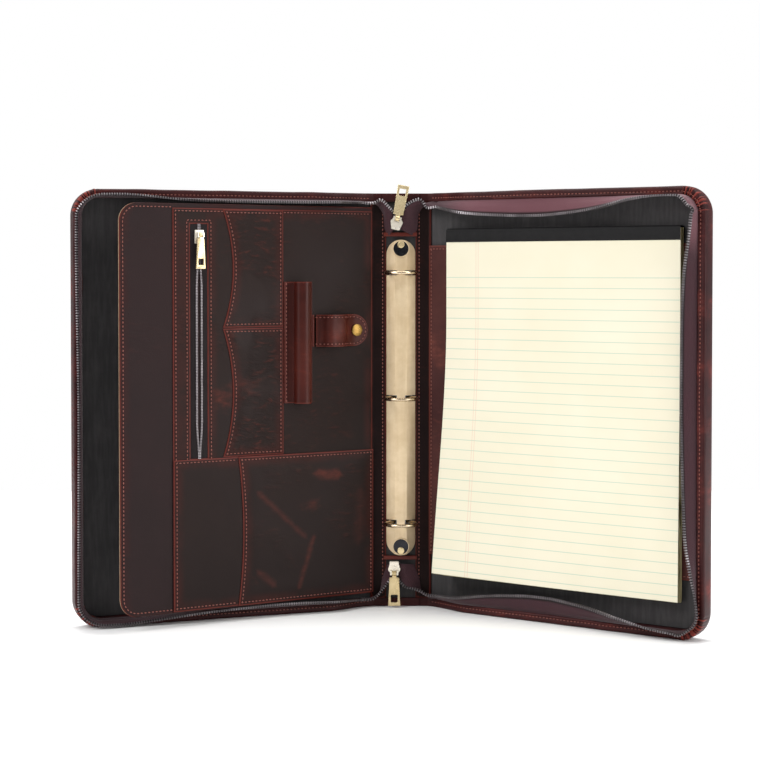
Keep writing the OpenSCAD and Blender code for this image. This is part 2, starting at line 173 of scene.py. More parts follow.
def relief(x, y, size, seed):
    """Soft random relief from -1 to 1, with lumps of a size in millimetres."""
    table = np.random.default_rng(seed).uniform(-1, 1, (64, 64))
    u, v = np.asarray(x, float) / size, np.asarray(y, float) / size
    i, j = np.floor(u).astype(int), np.floor(v).astype(int)
    a, b = smooth(u - i), smooth(v - j)
    t = lambda p, q: table[p % 64, q % 64]
    low = t(i, j) * (1 - a) + t(i + 1, j) * a
    high = t(i, j + 1) * (1 - a) + t(i + 1, j + 1) * a
    return low * (1 - b) + high * b


EDGE_STEPS = (0, 0.3, 0.8, 1.7, 3.0)


def spread(a, b, count, steps=EDGE_STEPS):
    """Stations from a to b that crowd towards both ends, so that an edge can be rounded over."""
    steps = np.array(steps, float)
    inner = np.linspace(a + steps[-1], b - steps[-1], count)
    return np.concatenate([a + steps[:-1], inner, (b - steps[:-1])[::-1]])


# ---- Meshes --------------------------------------------------------------------------------------

def make_object(name, verts, faces, material, uv=None, sharp=40, **attributes):
    mesh = bpy.data.meshes.new(name)
    mesh.from_pydata((np.asarray(verts, float) * MM).tolist(), [], [list(map(int, f)) for f in faces])
    if uv is not None:
        layer = mesh.uv_layers.new(name="cut")
        loop_verts = np.zeros(len(mesh.loops), int)
        mesh.loops.foreach_get("vertex_index", loop_verts)
        layer.data.foreach_set("uv", (np.asarray(uv, float) * MM)[loop_verts].ravel())
    for key, values in attributes.items():
        mesh.attributes.new(key, "FLOAT", "POINT").data.foreach_set("value", np.asarray(values, np.float32))
    bm = bmesh.new()
    bm.from_mesh(mesh)
    bmesh.ops.recalc_face_normals(bm, faces=bm.faces)
    bm.to_mesh(mesh)
    bm.free()
    mesh.shade_smooth()
    mesh.set_sharp_from_angle(angle=math.radians(sharp))
    mesh.materials.append(material)
    obj = bpy.data.objects.new(name, mesh)
    bpy.context.scene.collection.objects.link(obj)
    return obj


def grid_faces(rows, cols, loop=False):
    idx = np.arange(rows * cols).reshape(rows, cols)
    if loop:
        idx = np.concatenate([idx, idx[:, :1]], 1)
    return np.stack([idx[:-1, :-1], idx[1:, :-1], idx[1:, 1:], idx[:-1, 1:]], -1).reshape(-1, 4)


def grid_normals(grid, flip):
    across = np.cross(np.gradient(grid, axis=0), np.gradient(grid, axis=1))
    length = np.linalg.norm(across, axis=-1, keepdims=True)
    return across / np.maximum(length, 1e-9) * (-1 if flip else 1)


def edge_distance(grid):
    """How far each point of a grid is from the grid's border, along its rows and columns."""
    def along(axis):
        step = np.linalg.norm(np.diff(grid, axis=axis), axis=-1)
        pad = [(1, 0), (0, 0)] if axis == 0 else [(0, 0), (1, 0)]
        run = np.cumsum(np.pad(step, pad), axis=axis)
        total = run[-1:, :] if axis == 0 else run[:, -1:]
        return np.minimum(run, total - run)
    return np.minimum(along(0), along(1))


def thicken(verts, normals, faces, thickness):
    """A closed skin: the surface, its copy set inwards, and a wall round every open border."""
    count = len(verts)
    faces = [tuple(f) for f in faces]
    used = {}
    for f in faces:
        for a, b in zip(f, f[1:] + f[:1]):
            used[(a, b)] = True
    walls = [(b, a, a + count, b + count) for a, b in used if (b, a) not in used]
    inner = [tuple(i + count for i in f[::-1]) for f in faces]
    return np.concatenate([verts, verts - normals * thickness]), faces + inner + walls


def sheet(name, grid, thickness, material, uv, edge=None, keep=None, flip=False, sharp=40, normals=None,
          **attributes):
    """A closed sheet whose outer face is a grid of points. keep marks the quads that are there."""
    rows, cols = grid.shape[:2]
    faces = grid_faces(rows, cols)
    if keep is not None:
        faces = faces[keep.ravel()]
    edge = edge_distance(grid) if edge is None else edge
    normals = grid_normals(grid, flip) if normals is None else normals
    verts, faces = thicken(grid.reshape(-1, 3), normals.reshape(-1, 3), faces, thickness)
    flat_uv = np.stack(np.broadcast_arrays(*uv), -1).reshape(-1, 2)
    obj = make_object(name, verts, faces, material, np.tile(flat_uv, (2, 1)), sharp,
                      **{key: np.tile(np.ravel(v), 2) for key, v in (("edge", edge), *attributes.items())})
    if keep is not None:
        drop_loose(obj)
    return obj


def cut_cloth(obj, held, *rests_on):
    """Reads the flat pattern of a closed skin of cloth from its cut UV map, and declares nothing.
    """
    flat = np.zeros(2 * len(obj.data.loops))
    obj.data.uv_layers["cut"].data.foreach_get("uv", flat)


def drop_loose(obj):
    bm = bmesh.new()
    bm.from_mesh(obj.data)
    bmesh.ops.delete(bm, geom=[v for v in bm.verts if not v.link_faces], context="VERTS")
    bm.to_mesh(obj.data)
    bm.free()


def corner_reach(z, z0, z1, r):
    """How much less a page with round outer corners reaches out at a height."""
    into = np.clip(np.minimum(np.asarray(z, float) - z0, z1 - np.asarray(z, float)), 0, r)
    return r - np.sqrt(np.maximum(r * r - (r - into) ** 2, 0))


def corner_rows(z0, z1, r, count):
    """Heights that crowd into the round corners of a page."""
    turn = r * (1 - np.cos(np.linspace(0, math.pi / 2, 14)))
    return np.concatenate([z0 + turn, np.linspace(z0 + r, z1 - r, count)[1:-1], (z1 - turn)[::-1]])


def panel(name, page, s_in, s_out, z, n_top, thickness, material, count=36, swell=0.0, seed=1,
          round_over=0.5, window=None):
    """A cut leather panel on a page: s_in and s_out bound it at each height z; n_top is its face."""
    z = np.asarray(z, float)
    t = spread(0, 1, count, np.array(EDGE_STEPS) / 120)
    if window is not None:
        t = np.unique(np.concatenate([t, window["t"]]))
        z = np.unique(np.concatenate([z, window["z"]]))
    s_in, s_out = (np.broadcast_to(np.asarray(v, float), z.shape) for v in (s_in, s_out))
    s = s_in[:, None] + (s_out - s_in)[:, None] * t[None, :]
    zz = np.broadcast_to(z[:, None], s.shape)
    flat = np.stack([s, np.zeros_like(s), zz], -1)
    edge = edge_distance(flat)
    keep = None
    if window is not None:
        (w0, w1), (h0, h1) = window["s"], window["h"]
        outside = np.maximum(np.maximum(w0 - s, s - w1), np.maximum(h0 - zz, zz - h1))
        edge = np.minimum(edge, np.maximum(outside, 0))
        mid_s, mid_z = (s[:-1, :-1] + s[1:, 1:]) / 2, (zz[:-1, :-1] + zz[1:, 1:]) / 2
        keep = ~((mid_s > w0) & (mid_s < w1) & (mid_z > h0) & (mid_z < h1))
    body = smooth(edge, 0, 14)
    n = n_top - round_over * (1 - smooth(edge, 0, 0.9)) * min(thickness, 1) * 0.6
    n = n + swell * body * (0.6 + 0.4 * relief(s, zz, 55, seed)) + 0.12 * body * relief(s, zz, 18, seed + 1)
    return sheet(name, page.at(s, n, zz), thickness, material, (s, zz), edge, keep,
                 flip=page.along[0] > 0)


def finish_piece(obj, page, slot, *nodes):
    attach(obj, page if isinstance(page, str) else page.body)
    if nodes:
        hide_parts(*nodes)
    return obj


# ---- Shader expressions --------------------------------------------------------------------------

class Sock:
    """A value inside a shader: sums and products of these add Math nodes."""

    def __init__(self, shader, socket):
        self.shader, self.socket = shader, socket

    def _math(self, operation, *others):
        return self.shader.node("ShaderNodeMath", {"operation": operation}, dict(enumerate((self, *others))))

    def __add__(self, other): return self._math("ADD", other)
    def __radd__(self, other): return self._math("ADD", other)
    def __sub__(self, other): return self._math("SUBTRACT", other)
    def __rsub__(self, other): return self.shader.value_math("SUBTRACT", other, self)
    def __mul__(self, other): return self._math("MULTIPLY", other)
    def __rmul__(self, other): return self._math("MULTIPLY", other)
    def __truediv__(self, other): return self._math("DIVIDE", other)
    def power(self, other): return self._math("POWER", other)
    def sine(self): return self._math("SINE")
    def fract(self): return self._math("FRACT")
    def absolute(self): return self._math("ABSOLUTE")
    def least(self, other): return self._math("MINIMUM", other)
    def most(self, other): return self._math("MAXIMUM", other)
    def below(self, other): return self._math("LESS_THAN", other)

    def ramp(self, low, high, start=0.0, end=1.0):
        """Smoothly from start to end as the value goes from low to high."""
        return self.shader.node("ShaderNodeMapRange", {"interpolation_type": "SMOOTHSTEP"},
                                {"Value": self, "From Min": low, "From Max": high, "To Min": start,
                                 "To Max": end})


class Shader:
    """A material under construction."""

    def __init__(self, name):
        self.material = bpy.data.materials.new(name)
        self.material.use_nodes = True
        self.tree = self.material.node_tree
        self.surface = self.tree.nodes["Principled BSDF"]

    def node(self, kind, settings=None, inputs=None, output=0):
        made = self.tree.nodes.new(kind)
        for key, value in (settings or {}).items():
            setattr(made, key, value)
        for key, value in (inputs or {}).items():
            self.feed(made.inputs[key], value)
        return Sock(self, made.outputs[output])

    def feed(self, socket, value):
        if isinstance(value, Sock):
            self.tree.links.new(value.socket, socket)
        else:
            socket.default_value = value

    def value_math(self, operation, a, b):
        return self.node("ShaderNodeMath", {"operation": operation}, {0: a, 1: b})

    def place(self):
        return self.node("ShaderNodeTexCoord", output="Object")

    def cut(self):
        return self.node("ShaderNodeUVMap", {"uv_map": "cut"})

    def attribute(self, name):
        return self.node("ShaderNodeAttribute", {"attribute_name": name}, output="Fac")

    def edge(self):
        return self.attribute("edge")

    def scaled(self, vector, x, y, z, turn=(0, 0, 0)):
        return self.node("ShaderNodeMapping", None, {"Vector": vector, "Scale": (x, y, z), "Rotation": turn})

    def parts(self, vector):
        split = self.tree.nodes.new("ShaderNodeSeparateXYZ")
        self.feed(split.inputs[0], vector)
        return [Sock(self, out) for out in split.outputs]

    def noise(self, vector, scale, detail=4.0, rough=0.55):
        return self.node("ShaderNodeTexNoise", None,
                         {"Vector": vector, "Scale": scale, "Detail": detail, "Roughness": rough})

    def cells(self, vector, scale, feature="F1"):
        return self.node("ShaderNodeTexVoronoi", {"feature": feature}, {"Vector": vector, "Scale": scale})

    def mix(self, factor, a, b):
        return self.node("ShaderNodeMix", {"data_type": "RGBA"}, {0: factor, 6: a, 7: b}, output=2)

    def bump(self, height, strength, distance, normal=None):
        inputs = {"Height": height, "Strength": strength, "Distance": distance * MM}
        if normal is not None:
            inputs["Normal"] = normal
        return self.node("ShaderNodeBump", None, inputs)

    def set(self, **sockets):
        for key, value in sockets.items():
            self.feed(self.surface.inputs[key.replace("_", " ")], value)
        return self.material


def rgb(code):
    """Linear colour of a hex code."""
    parts = [int(code[i:i + 2], 16) / 255 for i in (1, 3, 5)]
    return tuple(((c + 0.055) / 1.055) ** 2.4 if c > 0.04045 else c / 12.92 for c in parts) + (1.0,)


# ---- Materials -----------------------------------------------------------------------------------

def streak(sh, u, v, start, end, width):
    """1 along a soft line between two places on the cut piece, in millimetres, and 0 away from it."""
    length = math.dist(start, end)
    dx, dy = (end[0] - start[0]) / length, (end[1] - start[1]) / length
    x, y = u * 1000 - start[0], v * 1000 - start[1]
    beyond = ((x * dx + y * dy - length / 2).absolute() - length / 2).most(0.0)
    across = (x * dy - y * dx).absolute()
    fray = sh.noise(sh.place(), 160, 4, 0.65) * width
    return (across + beyond + fray).ramp(0.3 * width, 1.5 * width, 1.0, 0.0)


def waxed_leather(name, deep, body, pull, edge_colour, patches=0.5, roughness=0.42, wrinkle=1.0,
                  edge_width=1.3,
                  halo=None, folds=False, marks=(), shine=0.15, creased=0.22):
    """Oil-waxed leather: dark in the middle, lighter where it has been bent, burnished at its cut edges.

    marks are streaks of the pull colour (start, end, width, strength), used for scuffs and for a painted
    sheen; with folds, the ridges of a gather get a painted highlight and its grooves painted shade."""
    sh = Shader(name)
    where = sh.place()
    cloud = sh.noise(where, 9, 5, 0.6)
    patch = sh.noise(sh.scaled(where, 1, 1, 1.6, (0.3, 0.2, 0.4)), 14, 6, 0.62).ramp(0.66 - 0.16 * patches,
                                                                                     0.8)
    waves = sh.node("ShaderNodeVectorMath", {"operation": "ADD"},
                    {0: where, 1: sh.scaled(sh.node("ShaderNodeTexNoise", None,
                                                    {"Vector": where, "Scale": 26}, output=1),
                                            0.012, 0.012, 0.012)})
    creases = sh.noise(sh.scaled(waves, 1, 1, 3.2, (0, 0.12, 0.1)), 95, 5, 0.6)
    crease_zone = sh.noise(where, 17, 2, 0.5).ramp(0.46 - 0.25 * (creased - 0.22),
                                                   0.66 - 0.4 * (creased - 0.22))
    fine = sh.cells(where, 900)
    pores = sh.noise(where, 1400, 3, 0.6)
    tone = sh.mix(cloud.ramp(0.35, 0.68), deep, body)
    scuffs_and_sheen = patch * creases.ramp(0.35, 0.7, 0.35, 1.0)
    # Each mark adds a streak of the pull colour: scuffs, and on the scuffed leather one painted sheen.
    for start, end, width, strength in marks:
        u, v, _ = sh.parts(sh.cut())
        scuffs_and_sheen = scuffs_and_sheen + streak(sh, u, v, start, end, width) * creases.ramp(0.3, 0.65, 0.5,
                                                                               1.0) * strength
    tone = sh.mix(scuffs_and_sheen.least(0.9), tone, pull)
    tone = sh.mix(creases.ramp(0.52, 0.72, 0.0, creased) * crease_zone, tone, pull)
    tone = sh.mix(pores.ramp(0.3, 0.75, 0.0, 0.2), tone, body)
    if halo is not None:
        tone = sh.mix(sh.edge().ramp(3.0, 11.0, 0.8, 0.0) * sh.noise(where, 38, 3, 0.6).ramp(0.3, 0.6), tone,
                      halo)
        tone = sh.mix(sh.edge().ramp(2.6, 4.2, 0.5, 0.0), tone, deep)
    burnish = sh.edge().ramp(0.3, edge_width, 1.0, 0.0)
    rub = sh.edge().ramp(edge_width, edge_width * 2.5, 0.2, 0.0) * sh.noise(where, 60, 3, 0.6).ramp(0.35,
                                                                                                    0.65)
    tone = sh.mix((burnish + rub).least(1.0), tone, edge_colour)
    if folds:
        ridge = sh.attribute("ridge")
        # Painted shade in the grooves of the pleats and a painted highlight on their ridges.
        tone = sh.mix(ridge.ramp(-0.15, -0.9, 0.0, 0.85), tone, rgb("#120607"))
        tone = sh.mix(ridge.ramp(0.25, 0.95, 0.0, 0.6), tone, rgb("#8e3b31"))
    normal = sh.bump(fine.ramp(0.0, 0.6) + pores * 0.5, 0.3, 0.1)
    normal = sh.bump(creases * crease_zone + cloud * 0.2, 0.7 * wrinkle, 1.0, normal)
    rough = cloud.ramp(0.3, 0.7, roughness - 0.06, roughness + 0.1) + patch * 0.06
    sh.set(Base_Color=tone, Roughness=rough, Normal=normal)
    return sh.set(Specular_IOR_Level=shine, Specular_Tint=(1.0, 0.8, 0.78, 1.0))


def lining_cloth(name, colour, light):
    """Fine matt cloth: a plain weave with a little lint."""
    sh = Shader(name)
    u, v, _ = sh.parts(sh.cut())
    threads = (u * 7800).sine() * (v * 7800).sine()
    lint = sh.noise(sh.place(), 60, 4, 0.6)
    brushed = sh.noise(sh.scaled(sh.place(), 1, 1, 0.12), 340, 3, 0.6)
    tone = sh.mix(lint.ramp(0.3, 0.75) * 0.6 + brushed.ramp(0.35, 0.7) * 0.4, colour, light)
    normal = sh.bump(threads * 0.5 + sh.noise(sh.place(), 1500, 2) * 0.8, 0.3, 0.12)
    normal = sh.bump(sh.noise(sh.place(), 22, 3), 0.35, 1.2, normal)
    sh.set(Base_Color=tone, Roughness=lint.ramp(0.3, 0.7, 0.75, 0.9), Normal=normal)
    return sh.set(Sheen_Weight=0.15, Sheen_Roughness=0.5)


def twill_tape(name, dark, light, top_highlight):
    """Zip tape: a herringbone of twill along the strip, with painted shadow beside its teeth and a painted
    highlight on the upper part of the right-hand tape.
    """
    sh = Shader(name)
    u, v, _ = sh.parts(sh.cut())
    side, _, height = sh.parts(sh.place())
    zigzag = ((v * 230).fract() - 0.5).absolute() * 0.0087
    ribs = ((u + zigzag) * 2900).sine()
    worn = sh.noise(sh.place(), 40, 4)
    tone = sh.mix((ribs * 0.3 + 0.5) * 0.6 + worn * 0.4, dark, light)
    # Painted highlight: the upper part of the tape on the right cover is lightened.
    tone = sh.mix(height.ramp(0.3, 0.325, 0.0, 0.75) * side.ramp(0.03, 0.06) * (ribs * 0.15 + 0.85), tone,
                  top_highlight)
    # Painted shadow: the tape is darkened to near-black along its toothed edge.
    tone = sh.mix(v.ramp(0.0114, 0.0128, 0.0, 0.9), tone, rgb("#0b0708"))
    sh.set(Base_Color=tone, Roughness=worn.ramp(0.3, 0.7, 0.7, 0.85), Normal=sh.bump(ribs, 0.5, 0.15))
    return sh.set(Sheen_Weight=0.15, Sheen_Roughness=0.45, Specular_IOR_Level=0.2)


def brushed_metal(name, dark, light, roughness, stretch=(1, 1, 0.03), scale=900, metallic=1.0, grain=0.12):
    """Plated metal, brushed along one direction and lightly stained."""
    sh = Shader(name)
    where = sh.place()
    hair = sh.noise(sh.scaled(where, *stretch), scale, 3, 0.7)
    stain = sh.noise(where, 45, 4, 0.6)
    tone = sh.mix(stain.ramp(0.3, 0.75) * 0.7 + hair * 0.3, dark, light)
    sh.set(Base_Color=tone, Roughness=hair.ramp(0.3, 0.7, roughness - 0.06, roughness + 0.08),
           Normal=sh.bump(hair, grain, 0.05))
    return sh.set(Metallic=metallic)


def ruled_paper(name, rule_pitch, margin, top_gap):
    """Cream writing paper with blue-green rules and a double margin line; u runs from its left edge."""
    sh = Shader(name)
    u, v, _ = sh.parts(sh.cut())
    row = ((v - top_gap * MM) / (rule_pitch * MM) + 0.5).fract()
    rule = (row - 0.5).absolute().ramp(0.025, 0.05, 1.0, 0.0) * v.ramp((top_gap - 1) * MM,
                                                                       (top_gap - 0.8) * MM)
    margins = [(u - (margin + k) * MM).absolute().ramp(0.12 * MM, 0.3 * MM, 1.0, 0.0) for k in (0, 2.2)]
    fibre = sh.noise(sh.place(), 700, 4, 0.7)
    tone = sh.mix(sh.noise(sh.place(), 12, 3).ramp(0.3, 0.7), rgb("#d8d2bb"), rgb("#dcd6c1"))
    tone = sh.mix(rule * 0.7, tone, rgb("#a3bcab"))
    tone = sh.mix((margins[0] + margins[1]).least(1.0) * 0.55, tone, rgb("#d2a18f"))
    sh.set(Base_Color=tone, Roughness=fibre.ramp(0.3, 0.7, 0.78, 0.9), Normal=sh.bump(fibre, 0.15, 0.05))
    return sh.set(Specular_IOR_Level=0.3)


def page_edges(name):
    """The cut edge of a stack of sheets: fine lines, one for each few pages."""
    sh = Shader(name)
    u, v, _ = sh.parts(sh.cut())
    lines = (v * 26000 + sh.noise(sh.place(), 30, 2) * 3).sine()
    tone = sh.mix(lines.ramp(-0.6, 0.9), rgb("#7f7650"), rgb("#c3b98c"))
    sh.set(Base_Color=tone, Roughness=lines.ramp(-1, 1, 0.8, 0.9), Normal=sh.bump(lines, 0.3, 0.08))
    return sh.material


def pressed_board(name, dark, light):
    sh = Shader(name)
    fibre = sh.noise(sh.place(), 260, 6, 0.7)
    sh.set(Base_Color=sh.mix(fibre.ramp(0.3, 0.7), dark, light), Roughness=fibre.ramp(0.3, 0.7, 0.8, 0.95),
           Normal=sh.bump(fibre, 0.3, 0.1))
    return sh.material


def waxed_thread(name, colour, light):
    sh = Shader(name)
    twist = sh.noise(sh.place(), 1800, 2, 0.6)
    sh.set(Base_Color=sh.mix(twist.ramp(0.3, 0.7), colour, light), Roughness=twist.ramp(0.3, 0.7, 0.45, 0.7),
           Normal=sh.bump(twist, 0.3, 0.05))
    return sh.material


def bound_cloth(name):
    """Black cloth binding tape with a fine woven face."""
    sh = Shader(name)
    u, v, _ = sh.parts(sh.cut())
    weave = (u * 9500).sine() * (v * 9500).sine()
    lint = sh.noise(sh.place(), 200, 4)
    sh.set(Base_Color=sh.mix(lint.ramp(0.3, 0.8), rgb("#0d0c0d"), rgb("#1c1b1c")),
           Roughness=lint.ramp(0.3, 0.7, 0.6, 0.75), Normal=sh.bump(weave, 0.35, 0.1))
    return sh.set(Specular_IOR_Level=0.2)


# Its folds carry painted shade in the pleat grooves and painted highlight on the ridges; on the rim its edge
# colour is a painted highlight.
OUTER_LEATHER = waxed_leather("outer_leather", rgb("#200c0d"), rgb("#3d1819"), rgb("#84382f"),
                              rgb("#5f2826"), 1.3,
                              0.4, 0.7, halo=rgb("#2a1012"), folds=True, shine=0.17)
DARK = (rgb("#110c0b"), rgb("#1b1311"), rgb("#54241b"), rgb("#5a2620"))
PANEL_LEATHER = waxed_leather("panel_leather", *DARK, 0.3, 0.42, halo=rgb("#2f120e"))
CREASED_LEATHER = waxed_leather("creased_leather", *DARK, 0.5, 0.4, 2.0, halo=rgb("#2f120e"), creased=0.5)
# The last mark, broad and soft near the hinge side, is a painted sheen; the other marks are scuffs.
SCUFFED_SHEEN_LEATHER = waxed_leather(
    "scuffed_sheen_leather", *DARK, 0.2, 0.4, 0.7, halo=rgb("#2f120e"),
    marks=(((36, 117), (56, 119), 7, 0.9), ((112, 106), (68, 66), 4, 0.45), ((60, 66), (74, 24), 4, 0.5),
           ((112, 40), (98, 28), 5, 0.4), ((14, 100), (16, 60), 9, 0.25)))
FACE_LEATHER = waxed_leather("face_leather", rgb("#181112"), rgb("#221819"), rgb("#40201c"), rgb("#55251f"),
                             0.15,
                             0.46, 0.5, halo=rgb("#2d1413"))
TRIM_LEATHER = waxed_leather("trim_leather", rgb("#280d0a"), rgb("#401711"), rgb("#6e2f25"), rgb("#54221b"),
                             0.9,
                             0.3, 0.5, halo=rgb("#38130f"), shine=0.2)
STRIP_LEATHER = waxed_leather("strip_leather", rgb("#0f0808"), rgb("#180c0b"), rgb("#3d1a15"),
                              rgb("#4a1d18"), 0.5,
                              0.46, 0.8, shine=0.1)
BAND_LEATHER = waxed_leather("band_leather", rgb("#32191a"), rgb("#4c2a26"), rgb("#7a4135"), rgb("#5a2a22"),
                             0.9,
                             0.46, 0.8)
LINING = lining_cloth("black_lining", rgb("#1f1d1e"), rgb("#3b3839"))
# The third colour is a painted highlight, laid on the upper part of the right-hand tape.
TAPE = twill_tape("plum_tape", rgb("#1d1013"), rgb("#4a2c33"), rgb("#70484f"))
TEETH = brushed_metal("dark_teeth", rgb("#4d484a"), rgb("#9a9396"), 0.42, (1, 1, 1), 500, 0.85)
BRASS = brushed_metal("antique_brass", rgb("#c3aa85"), rgb("#e2cdab"), 0.38, metallic=0.35)
RING_BRASS = brushed_metal("ring_brass", rgb("#a8947a"), rgb("#dcc9ac"), 0.22, (1, 1, 1), 300)
GOLD_BRASS = brushed_metal("bright_brass", rgb("#c8b184"), rgb("#e8d6ac"), 0.28, (1, 1, 0.3), 160, 0.75,
                           0.02)
SNAP_BRASS = brushed_metal("snap_brass", rgb("#8a6c38"), rgb("#b59255"), 0.3, (1, 1, 1), 160, 1.0, 0.03)
SLIDER_METAL = brushed_metal("slider_metal", rgb("#d9d1c0"), rgb("#f0e9dc"), 0.28, (1, 1, 1), 120, 0.6, 0.02)
GUNMETAL = brushed_metal("gunmetal", rgb("#1c1c1f"), rgb("#3a3a3e"), 0.3, (1, 1, 1), 300)
SPRING_STEEL = brushed_metal("spring_steel", rgb("#77777a"), rgb("#a9a9ac"), 0.3)
BOARD = pressed_board("stiffener_board", rgb("#7d6c55"), rgb("#a08c70"))
CARDBOARD = pressed_board("grey_cardboard", rgb("#6d6353"), rgb("#8d8370"))
PAPER = ruled_paper("ruled_paper", 8.7, 29.3, 41)
PAGE_EDGES = page_edges("page_edges")
BINDING = bound_cloth("binding_cloth")
THREAD = waxed_thread("brown_thread", rgb("#5e2b23"), rgb("#8e5044"))


# ---- Geometry Nodes: what repeats along a seam or a zip ------------------------------------------

class RowTree:
    """A node tree that sets one small shape again and again along the lines of a mesh."""

    def __init__(self, name, sizes):
        self.tree = bpy.data.node_groups.new(name, "GeometryNodeTree")
        face = self.tree.interface
        face.new_socket("Lines", in_out="INPUT", socket_type="NodeSocketGeometry")
        self.sizes = {s: face.new_socket(s, in_out="INPUT", socket_type="NodeSocketFloat").identifier
                      for s in sizes}
        self.finish = face.new_socket("Finish", in_out="INPUT", socket_type="NodeSocketMaterial").identifier
        face.new_socket("Pieces", in_out="OUTPUT", socket_type="NodeSocketGeometry")
        self.entry = self.tree.nodes.new("NodeGroupInput")
        self.exit = self.tree.nodes.new("NodeGroupOutput")

    def add(self, kind, settings=None, inputs=None):
        made = self.tree.nodes.new(kind)
        for key, value in (settings or {}).items():
            setattr(made, key, value)
        for key, value in (inputs or {}).items():
            if isinstance(value, bpy.types.NodeSocket):
                self.tree.links.new(value, made.inputs[key])
            else:
                made.inputs[key].default_value = value
        return made

    def given(self, name):
        return self.entry.outputs[name]

    def row(self, shape, turned):
        """Sets the shape along the resampled lines, with its own Z along them."""
        lines = self.add("GeometryNodeMeshToCurve", None, {"Mesh": self.given("Lines")}).outputs[0]
        lines = self.add("GeometryNodeResampleCurve", {"mode": "LENGTH"},
                         {"Curve": lines, "Length": self.given("Pitch")}).outputs[0]
        tangent = self.add("GeometryNodeInputTangent").outputs[0]
        turn = self.add("FunctionNodeAlignRotationToVector", {"axis": "Z"}, {"Vector": tangent}).outputs[0]
        if turned:
            reach = self.add("GeometryNodeInputNamedAttribute", {"data_type": "FLOAT_VECTOR"},
                             {"Name": "reach"})
            turn = self.add("FunctionNodeAlignRotationToVector", {"axis": "X", "pivot_axis": "Z"},
                            {"Rotation": turn, "Vector": reach.outputs[0]}).outputs[0]
        copies = self.add("GeometryNodeInstanceOnPoints", None,
                          {"Points": lines, "Instance": shape, "Rotation": turn}).outputs[0]
        real = self.add("GeometryNodeRealizeInstances", None, {"Geometry": copies}).outputs[0]
        done = self.add("GeometryNodeSetMaterial", None,
                        {"Geometry": real, "Material": self.given("Finish")})
        self.tree.links.new(done.outputs[0], self.exit.inputs[0])

    def grow(self, name, lines, material, reach=None, smooth_shade=True, **sizes):
        """Runs the tree on polylines, in millimetres, and returns the result as one plain mesh."""
        verts, edges, start = [], [], 0
        for line in lines:
            verts.extend(np.asarray(line, float) * MM)
            edges += [(start + i, start + i + 1) for i in range(len(line) - 1)]
            start += len(line)
        mesh = bpy.data.meshes.new(name + "_lines")
        mesh.from_pydata([tuple(v) for v in verts], edges, [])
        if reach is not None:
            mesh.attributes.new("reach", "FLOAT_VECTOR", "POINT").data.foreach_set(
                "vector", np.concatenate(reach).astype(np.float32).ravel())
        obj = bpy.data.objects.new(name, mesh)
        bpy.context.scene.collection.objects.link(obj)
        modifier = obj.modifiers.new("rows", "NODES")
        modifier.node_group = self.tree
        for key, value in sizes.items():
            modifier[self.sizes[key]] = value * MM
        modifier[self.finish] = material
        bpy.context.view_layer.update()
        grown = bpy.data.meshes.new_from_object(obj.evaluated_get(bpy.context.evaluated_depsgraph_get()))
        obj.modifiers.clear()
        obj.data = grown
        if not grown.materials:
            grown.materials.append(material)
        if smooth_shade:
            grown.shade_smooth()
        return obj


def stitch_tree():
    rows = RowTree("stitch_rows", ("Pitch", "Length", "Radius"))
    bead = rows.add("GeometryNodeMeshUVSphere", None, {"Segments": 6, "Rings": 4, "Radius": 1.0}).outputs[0]
    size = rows.add("ShaderNodeCombineXYZ", None, {"X": rows.given("Radius"), "Y": rows.given("Radius"),
                                                   "Z": rows.given("Length")}).outputs[0]
    shape = rows.add("GeometryNodeTransform", None, {"Geometry": bead, "Scale": size}).outputs[0]
    rows.row(shape, turned=False)
    return rows


def tooth_tree():
    rows = RowTree("zip_teeth_rows", ("Pitch", "Reach", "Thickness", "Length"))
    size = rows.add("ShaderNodeCombineXYZ", None, {"X": rows.given("Reach"), "Y": rows.given("Thickness"),
                                                   "Z": rows.given("Length")}).outputs[0]
    shape = rows.add("GeometryNodeMeshCube", None, {"Size": size}).outputs[0]
    rows.row(shape, turned=True)
    return rows


STITCHES = stitch_tree()
TOOTH_ROWS = tooth_tree()
STITCH_SIZE = dict(Pitch=3.2, Length=1.0, Radius=0.5)


# ---- Covers --------------------------------------------------------------------------------------

PATH_START = 6.0
CORNER_STEPS = 80


def edge_path(start, corner_steps=CORNER_STEPS):
    """The cover's edge from its hinge along the top, down the side and back: station, point and outward way.
    The station runs 0-1 along the top, 1-2 round the corner, 2-3 down the side, 3-4 and 4-5 back."""
    far, high, low = COVER_W - CORNER_R, CASE_H - CORNER_R, CORNER_R
    rows = []
    top = np.concatenate([np.linspace(0, 0.2, 14)[:-1], np.linspace(0.2, 1, 40)])
    for t in top[:-1]:
        rows.append((t, start + (far - start) * t, CASE_H, 0, 1))
    for t in np.linspace(0, 1, corner_steps)[:-1]:
        a = math.pi / 2 * (1 - t)
        rows.append((1 + t, far + CORNER_R * math.cos(a), high + CORNER_R * math.sin(a), math.cos(a),
                     math.sin(a)))
    for t in np.linspace(0, 1, 60)[:-1]:
        rows.append((2 + t, COVER_W, high + (low - high) * t, 1, 0))
    for t in np.linspace(0, 1, corner_steps)[:-1]:
        a = -math.pi / 2 * t
        rows.append((3 + t, far + CORNER_R * math.cos(a), low + CORNER_R * math.sin(a), math.cos(a),
                     math.sin(a)))
    for t in (1 - top)[::-1]:
        rows.append((4 + t, far + (start - far) * t, 0, 0, -1))
    return np.array(rows)


def rim_rise(s):
    """How tall the rim stands at a distance from the hinge line: it grows out of the flat spine."""
    return 0.2 + 0.8 * smooth(s, 6, 44)


